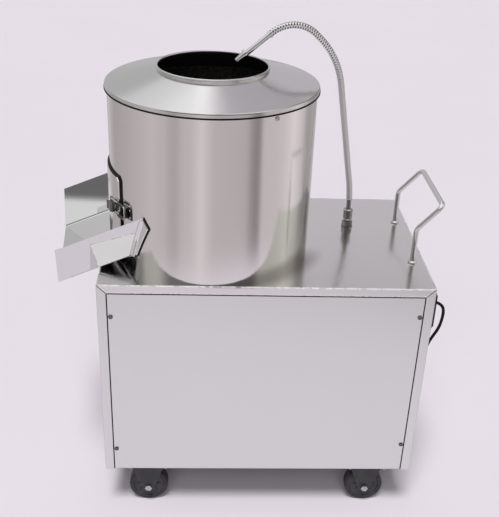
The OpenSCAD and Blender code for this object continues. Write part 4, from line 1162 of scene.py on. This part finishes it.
@dataclass
class Casters:
    """Four fixed casters, with turned wheels, treads and bearing caps."""

    radius: float = 40.0
    half_width: float = 13.0
    shoulder: float = 5.0
    bore: float = 5.0
    spokes: int = 8

    def wheel(self, place: str, side: str, x: float, y: float) -> None:
        """One wheel: a tread with rounded shoulders on a hub with ribs, both turned profiles.

        Args:
            place: Whether it is at the front or the back.
            side: Whether it is at the left or the right.
            x: Wheel centre, in millimetres from the cabinet's corner.
            y: Wheel centre, front to back.
        """
        r, h, q = self.radius, self.half_width, self.shoulder
        edge = [(r - q + q * math.sin(a), q - h - q * math.cos(a)) for a in np.linspace(0, np.pi / 2, 7)]
        tread = [(r - 9, -h), *edge, *((far, -z) for far, z in edge[::-1]), (r - 9, h)]
        hub = [(r - 9, h), (r - 9.6, h - 0.8), (r - 10.4, h - 3), (r - 15, h - 5), (17, h - 5.4), (13, h - 4.6),
               (12, h - 3), (12, h + 2.6), (11.2, h + 3.4), (5.2, h + 3.4), (self.bore, h + 3), (self.bore, 0.0)]
        forms = [lathe(tread, (x, y, r), BACKWARD, 96)]
        forms += [lathe([(far, way * z) for far, z in hub], (x, y, r), BACKWARD, 72, slot=1) for way in (1, -1)]
        u, v = np.linspace(13.0, r - 11.0, 8)[:, None], circle(12)
        for a in np.arange(self.spokes) * 2 * math.pi / self.spokes:
            for way in (-1, 1):
                forms.append(loft(xyz(x + u * math.cos(a) - 1.5 * np.cos(v) * math.sin(a),
                                      y + way * (h - 5.2 + 1.6 * np.sin(v)),
                                      r + u * math.sin(a) + 1.5 * np.cos(v) * math.cos(a)), slot=1))
        make_piece(f"caster_wheel_{place}_{side}", forms, ["tread", "hub_plastic"],
                   f"wheel_{place}_{side}", [f"wheel_{place[0]}{side[0]}"])

    def build(self) -> None:
        """Dresses the forks and bolts and makes the wheels."""
        dress("caster_paint", "fork_fl", "fork_fr", "fork_bl", "fork_br")
        dress("zinc", "axle_bolts")
        for side, x in (("left", CASTER_INSET[0]), ("right", CABINET[0] - CASTER_INSET[0])):
            for place, y in (("front", CASTER_INSET[1]), ("back", CABINET[1] - CASTER_INSET[1])):
                self.wheel(place, side, x, y)


@dataclass
class Drum:
    """The drum, its liner, floor and cover, with the drum's welded seam."""

    top: float = 853.0
    seam_angle: float = 78.0
    ripple: float = 2.1

    def seam(self) -> None:
        """The drum's upright weld at the back: a low bead whose height ripples along it."""
        z, v = np.linspace(PLATE_TOP + 1, self.top - 1, 420)[:, None], np.linspace(0, np.pi, 9)
        wave = np.sin(z * self.ripple)
        a = math.radians(self.seam_angle) + (1.5 + 0.12 * wave) * np.cos(v) / DRUM_RADIUS
        r = DRUM_RADIUS - 0.1 + (0.28 + 0.08 * wave) * np.sin(v)
        make_piece("drum_seam", [loft(xyz(DRUM[0] + r * np.cos(a), DRUM[1] + r * np.sin(a), z))], ["rod_steel"])

    def lip_shade(self) -> None:
        """A black ring of painted shade between the drum and the cover's lip, for the dark line there, turned from a
        round-cornered profile.
        """
        profile = [(194.4, -3.1), (197.9, -3.1), (198.8, -2.8), (199.4, -2.1), (199.4, -0.3), (199.2, 0.1),
                   (196.8, 0.1), (194.4, 0.1)]
        make_piece("cover_lip_shade", [lathe(profile, (*DRUM, self.top), segments=160, ring=True)], ["shadow_seal"],
                   sharp=60.0)

    def build(self) -> None:
        """Dresses the drum's nodes and adds its seam and the painted shade under the cover's lip."""
        dress("drum_steel", "drum_shell")
        dress("abrasive", "drum_liner")
        dress("chute_steel", "drum_floor")
        dress("cover_steel", "hopper_cover")
        dress("turned_steel", "cover_screws")
        self.seam()
        self.lip_shade()


@dataclass
class Disc:
    """The abrasive disc with its waves of grit, its cap, shaft, pulleys and motor."""

    radius: float = 184.8
    bore: float = 36.0
    top: float = 573.0
    ridge: float = 8.0
    waves: int = 3
    grain: float = 0.9

    def grit(self) -> None:
        """The disc's coat: three round ridges, sqrt(34 squared - across squared) - 26, plus grains of noise."""
        rng = np.random.default_rng(7)
        r, a = np.meshgrid(np.linspace(self.bore, self.radius, 150), circle(480), indexing="ij")
        wave = np.zeros_like(r)
        for k in range(self.waves):
            off = a - 2 * np.pi * k / self.waves
            lift = np.sqrt(np.clip(34.0 ** 2 - (r * np.sin(off)) ** 2, 0, None)) - 26.0
            wave = np.maximum(wave, np.where((np.cos(off) > 0) & (r < self.radius - 4.5), lift, 0))
        grains = rng.random(r.shape) * self.grain
        fade = np.clip((self.radius - r) / 2.0, 0, 1) * np.clip((r - self.bore) / 2.0, 0, 1)
        up = self.top + 0.15 + np.minimum(wave, self.ridge) * np.clip((r - 46.0) / 10.0, 0, 1) + grains * fade
        x, y = DRUM[0] + r * np.cos(a), DRUM[1] + r * np.sin(a)
        foot = row(xyz(x, y, self.top - 0.6))[[-1, 0]]
        make_piece("grit_coat", [Patch(np.concatenate([row(xyz(x, y, up)), foot]), wrap_u=True)], ["abrasive"],
                   "disc_rotor", sharp=180.0)

    def build(self) -> None:
        """Dresses the rotor and the motor, and adds the grit and the bolts."""
        dress("abrasive", "peeling_disc")
        dress("rod_steel", "disc_cap")
        dress("turned_steel", "main_shaft", "motor_shaft", "bearings")
        dress("cast_grey", "driven_pulley", "motor_pulley", "bearing_housing")
        dress("motor_paint", "motor_body", "motor_fan_cover")
        dress("rubber", "drive_belt")
        self.grit()
        bolts = Fasteners.bolt_circle(6, DRUM, radius=62.0, z=524.8, axis=DOWN)
        bolts += Fasteners.bolt_circle(4, MOTOR, radius=88.0, z=248.0, axis=UP)
        make_piece("drive_bolts", bolts, ["zinc"], sharp=25.0)


@dataclass
class ChuteAndDoor:
    """The chute, its rubber, the door with its seal and hinge, and the toggle latch."""

    latch_angle: float = math.radians(20.063)
    latch_r: float = 199.3
    latch_z: float = 646.0
    lever_half: float = 8.5
    lever_sheet: float = 1.4
    leg: tuple[Pair, Pair] = ((4.4, -3.0), (-1.5, 48.0))
    leg_across: float = 12.0
    spring_turns: int = 8
    spring_r: float = 2.3
    spring_wire: float = 0.6
    flange_r: float = 198.0
    slope: float = math.radians(20.7)
    floor_half: float = 119.0
    lean: float = 22.5
    wall: float = 77.5
    sheet: float = 1.5
    fold_r: float = 10.0

    @staticmethod
    def rivet(angle: float, r: float, z: float, *size: float) -> Patch:
        """A rivet that faces outwards from the drum.

        Args:
            angle: Degrees from the chute's middle, positive towards the front.
            r: Distance from the drum's axis.
            z: Height.
            *size: Radius and height of its head.

        Returns:
            Its grid.
        """
        a = math.radians(angle)
        foot, ahead = (chute_point(far * math.cos(a), far * math.sin(a), z) for far in (r, r + 1))
        return Fasteners.rivet(foot, ahead - foot, *size)

    def rivets(self) -> None:
        """Rivets of the hinge's leaves and the latch's hook."""
        heights = (604.0, 643.0, 682.0)
        fixed = [self.rivet(-32.6, DRUM_RADIUS + 1.8, z) for z in heights]
        fixed += [self.rivet(35.6, DRUM_RADIUS + 1.5, z, 1.8, 0.8) for z in (639.0, 653.0)]
        moving = [self.rivet(-24.4, self.latch_r + 1.8, z) for z in heights]
        make_piece("hinge_rivets", fixed, ["rod_steel"])
        make_piece("door_rivets", moving, ["rod_steel"], "door")

    def at_latch(self, out: Any, t: Any, up: Any) -> np.ndarray:
        """Turns the latch's own millimetres into millimetres from the cabinet's corner.

        Args:
            out: Distances outwards from the latch's seat.
            t: Distances along the drum's skin, positive towards the hook.
            up: Heights above the latch's middle.

        Returns:
            Points with x, y and z last.
        """
        c, s, r = math.cos(self.latch_angle), math.sin(self.latch_angle), self.latch_r + out
        return chute_point(r * c - t * s, r * s + t * c, self.latch_z + up)

    def lever(self) -> None:
        """The latch's lever: a folded channel of sheet, whose web runs from its pivot to a curled finger tab."""
        web = ((3.4, 12.0), (9.0, 12.6), (11.9, 9.0), (11.3, 2.0), (10.8, -3.0), (10.6, -5.0), (11.1, -6.8),
               (12.2, -8.0))
        line = even_line(smooth_line(web, 8), 1.2)
        along = unit(np.gradient(line, axis=0))
        inner = line + self.lever_sheet * np.stack([along[:, 1], -along[:, 0]], -1)
        half = self.lever_half
        forms = [(np.concatenate([line, inner[::-1]]), (-half, 0.3 - half, half - 0.3, half))]
        cheek = np.array([(2.3, -3.5), (2.3, 7.0), (4.0, 12.0), (8.6, 11.8), (10.9, 8.8), (10.3, 2.0), (9.8, -3.0),
                          (9.5, -5.0), (4.0, -4.8)])
        forms += [(cheek, (side * (half - self.lever_sheet), side * half)) for side in (-1, 1)]
        patches = [loft([self.at_latch(*outline.T, up) for up in levels]) for outline, levels in forms]
        make_piece("toggle_lever", patches, ["latch_steel"], "lever", ["latch_lever"], sharp=30.0)

    def springs(self) -> None:
        """The two springs on the bail's legs: tubes whose centre winds round the leg, one turn per pitch."""
        start, end = np.array(self.leg)
        s = np.linspace(0, 1, self.spring_turns * 16 + 1)
        spin = 2 * np.pi * self.spring_turns * s
        leg = unit(end - start)
        foot = start + (end - start) * (0.53 + 0.36 * s)[:, None]
        flat = foot + self.spring_r * np.cos(spin)[:, None] * np.array([leg[1], -leg[0]])
        patches = []
        for side in (-1, 1):
            path = self.at_latch(*flat.T, side * self.leg_across + self.spring_r * np.sin(spin))
            patches.append(Patch(closed_ends(tube(path, self.spring_wire, (0.3, 0.9, 0.31), 8))))
        make_piece("bail_springs", patches, ["latch_steel"], "bail")

    def bends(self) -> None:
        """The folds between the chute's walls and its flange, as a ball of the fold's radius rolls them: its
        centre keeps that radius from the wall's plane and from the flange's cylinder, and the fold is the arc
        between the two points that it touches.
        """
        lean = math.atan2(self.lean, self.wall * math.cos(self.slope))
        wall_n = np.array([-math.sin(lean) * math.sin(self.slope), math.cos(lean),
                           -math.sin(lean) * math.cos(self.slope)])
        foot = np.array([150.0, self.floor_half, 568.0]) + self.sheet * wall_n
        reach = self.flange_r + self.fold_r
        z = np.linspace(563.0, 644.0, 60)
        near = (foot @ wall_n + self.fold_r - wall_n[2] * z) / math.hypot(wall_n[0], wall_n[1])
        turn = math.atan2(wall_n[1], wall_n[0]) - np.arccos(near / reach)
        centre = xyz(reach * np.cos(turn), reach * np.sin(turn), z)
        to_drum = xyz(-np.cos(turn), -np.sin(turn), 0.0)
        to_wall = np.broadcast_to(-wall_n, centre.shape)
        angle = np.arccos(np.sum(to_drum * to_wall, 1))[:, None, None]
        t = np.linspace(0, 1, 13)[None, :, None]
        way = (np.sin((1 - t) * angle) * to_drum[:, None] + np.sin(t * angle) * to_wall[:, None]) / np.sin(angle)
        arc = centre[:, None] + self.fold_r * way
        corner = centre + (to_drum + to_wall) * (self.fold_r + 0.3) / (1 + np.cos(angle[:, 0]))
        ring = np.concatenate([arc, corner[:, None]], 1)
        patches = [loft(chute_point(ring[..., 0], side * ring[..., 1], ring[..., 2])) for side in (-1, 1)]
        make_piece("chute_bends", patches, ["chute_steel"])

    def build(self) -> None:
        """Dresses the nodes and adds the folds, the lever, the springs and the rivets."""
        dress("chute_steel", "chute")
        dress("drum_steel", "door")
        dress("rubber", "chute_pad", "door_seal")
        dress("latch_steel", "latch_base", "latch_lever", "latch_hook")
        dress("rod_steel", "latch_bail")
        dress("turned_steel", "hinge_fixed_leaf", "hinge_door_leaf", "hinge_pin")
        self.bends()
        self.lever()
        self.springs()
        self.rivets()


@dataclass
class WaterLine:
    """The braided gooseneck, its nut and spray tube, the inlet and the waste pipe."""

    hose_r: float = 6.2
    points: tuple[Pair, ...] = ((0.0, 62.0), (2.3, 92.0), (49.4, 358.7), (140.05, 443.23), (187.0, 407.5))
    bends: Triple = (150.0, 160.0, 68.0)
    strands: int = 3
    pitch: float = 5.2
    weave: float = 0.45
    sides: int = 72

    def line(self) -> np.ndarray:
        """The gooseneck's centreline: straights joined by arcs that touch them, in one upright plane.

        Returns:
            Points 1 mm apart, in millimetres from the cabinet's corner.
        """
        p = np.array(self.points)
        parts = [p[:1]]
        for before, at, after, bend in zip(p, p[1:], p[2:], self.bends):
            u, v = unit(at - before), unit(after - at)
            angle = math.acos(float(u @ v))
            t = np.linspace(0, angle, 160)[:, None]
            start = at - u * bend * math.tan(angle / 2)
            parts.append(start + bend * (np.sin(t) * u + (1 - np.cos(t)) * unit(v - u * float(u @ v))))
        out, up = np.concatenate([*parts, p[-1:]]).T
        way = unit(np.subtract(DRUM, HOSE))
        return even_line(xyz(HOSE[0] + out * way[0], HOSE[1] + out * way[1], PLATE_TOP + up), 1.0)

    def build(self) -> None:
        """Makes the braid, whose radius swells with crossing helices, and dresses the fittings."""
        path = self.line()
        turns = 2 * np.pi * np.arange(len(path))[:, None] / self.pitch
        around = self.strands * circle(self.sides)
        lift = np.maximum(np.sin(around + turns), np.sin(around - turns))
        side = unit(np.array([HOSE[1] - DRUM[1], DRUM[0] - HOSE[0], 0.0]))
        grid = closed_ends(tube(path, self.hose_r - self.weave + self.weave * lift, side, self.sides))
        Finishes.PLAN["braid"] = BraidedHose("braid", len(path) / self.pitch, float(self.strands))
        make_piece("gooseneck_braid", [Patch(grid)], ["braid"], replaces=["gooseneck"], sharp=180.0)
        dress("nut_steel", "hose_nut")
        dress("tube_steel", "spray_tube")
        dress("zinc", "inlet_pipe")
        dress("turned_steel", "drain_pipe")


@dataclass
class Controls:
    """The push handle, the switch box with its buttons, and the cord's gland."""

    gland: Triple = (624.0, 60.0, 474.0)
    box: Triple = (655.0, 110.0, 399.0)
    box_height: float = 75.0
    buttons: tuple[tuple[str, str, float], ...] = (("start", "green", 0.7), ("stop", "red", 0.3))

    def relief(self) -> None:
        """The gland's ribbed sleeve: a taper whose radius steps in and out along it."""
        x = np.linspace(0, 14.0, 57)
        ribs = np.where((x > 7) & (x < 12.6) & (np.floor(x / 0.75) % 2 == 0), -0.6, 0.0)
        r = np.interp(x, [0, 0.4, 4.6, 5.0, 5.4, 13.4, 14.0], [9.3, 9.8, 9.8, 9.3, 8.0, 5.3, 4.6]) + ribs
        sleeve = [(3.1, 0.0), *zip(r, x), (3.1, 14.0)]
        nut = [(7.4, -5.3), (10.0, -5.3), (10.4, -4.9), (10.4, -1.6), (10.0, -1.2), (7.4, -1.2)]
        forms = [lathe(profile, self.gland, RIGHT, sides, ring=True) for profile, sides in ((sleeve, 48), (nut, 6))]
        make_piece("gland_sleeve", forms, ["black_plastic"], replaces=["cord_gland"], sharp=30.0)

    def on_box(self, across: float, up: float) -> Triple:
        """Returns a place on the box's lid, from its middle and its foot."""
        return self.box[0], self.box[1] + across, self.box[2] + up

    def caps(self) -> None:
        """The buttons' caps: a rim with a shallow bowl, turned."""
        dish = [(8.6 * (1 - k), 3.9 - 0.9 * k * (2 - k)) for k in np.linspace(0, 1, 9)]
        profile = [(0, -5.0), (10.0, -5.0), (10.0, 2.9), (9.7, 3.7), (9.0, 4.0), *dish]
        for name, tone, share in self.buttons:
            make_piece(f"{name}_cap", [lathe(profile, self.on_box(0.0, self.box_height * share), RIGHT, 64)],
                       [f"{tone}_cap"], f"{name}_button", [f"{name}_button"])

    def bezels(self) -> None:
        """Rings round the buttons and corner screws on the box's lid."""
        ring = [(10.6, -0.4), (10.6, 0.6), (11.2, 1.2), (12.6, 1.2), (13.2, 0.6), (13.4, -0.4)]
        patches = [lathe(ring, self.on_box(0.0, self.box_height * share), RIGHT, 64, ring=True)
                   for _, _, share in self.buttons]
        patches += [Fasteners.rivet(self.on_box(across, up), RIGHT, r=2.4, h=1.0)
                    for across, up in product((-19.0, 19.0), (6.0, 68.0))]
        make_piece("button_bezels", patches, ["zinc"])

    def build(self) -> None:
        """Dresses the handle and the box and adds the caps, rings and sleeve."""
        dress("rod_steel", "push_handle", "handle_flanges")
        dress("black_plastic", "switch_box")
        self.relief()
        self.caps()
        self.bezels()


def main() -> None:
    """Builds the studio and the machine's sub-assemblies in order."""
    logging.basicConfig(level=logging.INFO, format="%(message)s")
    for part in (Studio(), PowerCord(), Cabinet(), Casters(), Drum(), Disc(), ChuteAndDoor(), WaterLine(), Controls()):
        log.info("building %s", type(part).__name__)
        part.build()


if __name__ == "__main__":
    main()
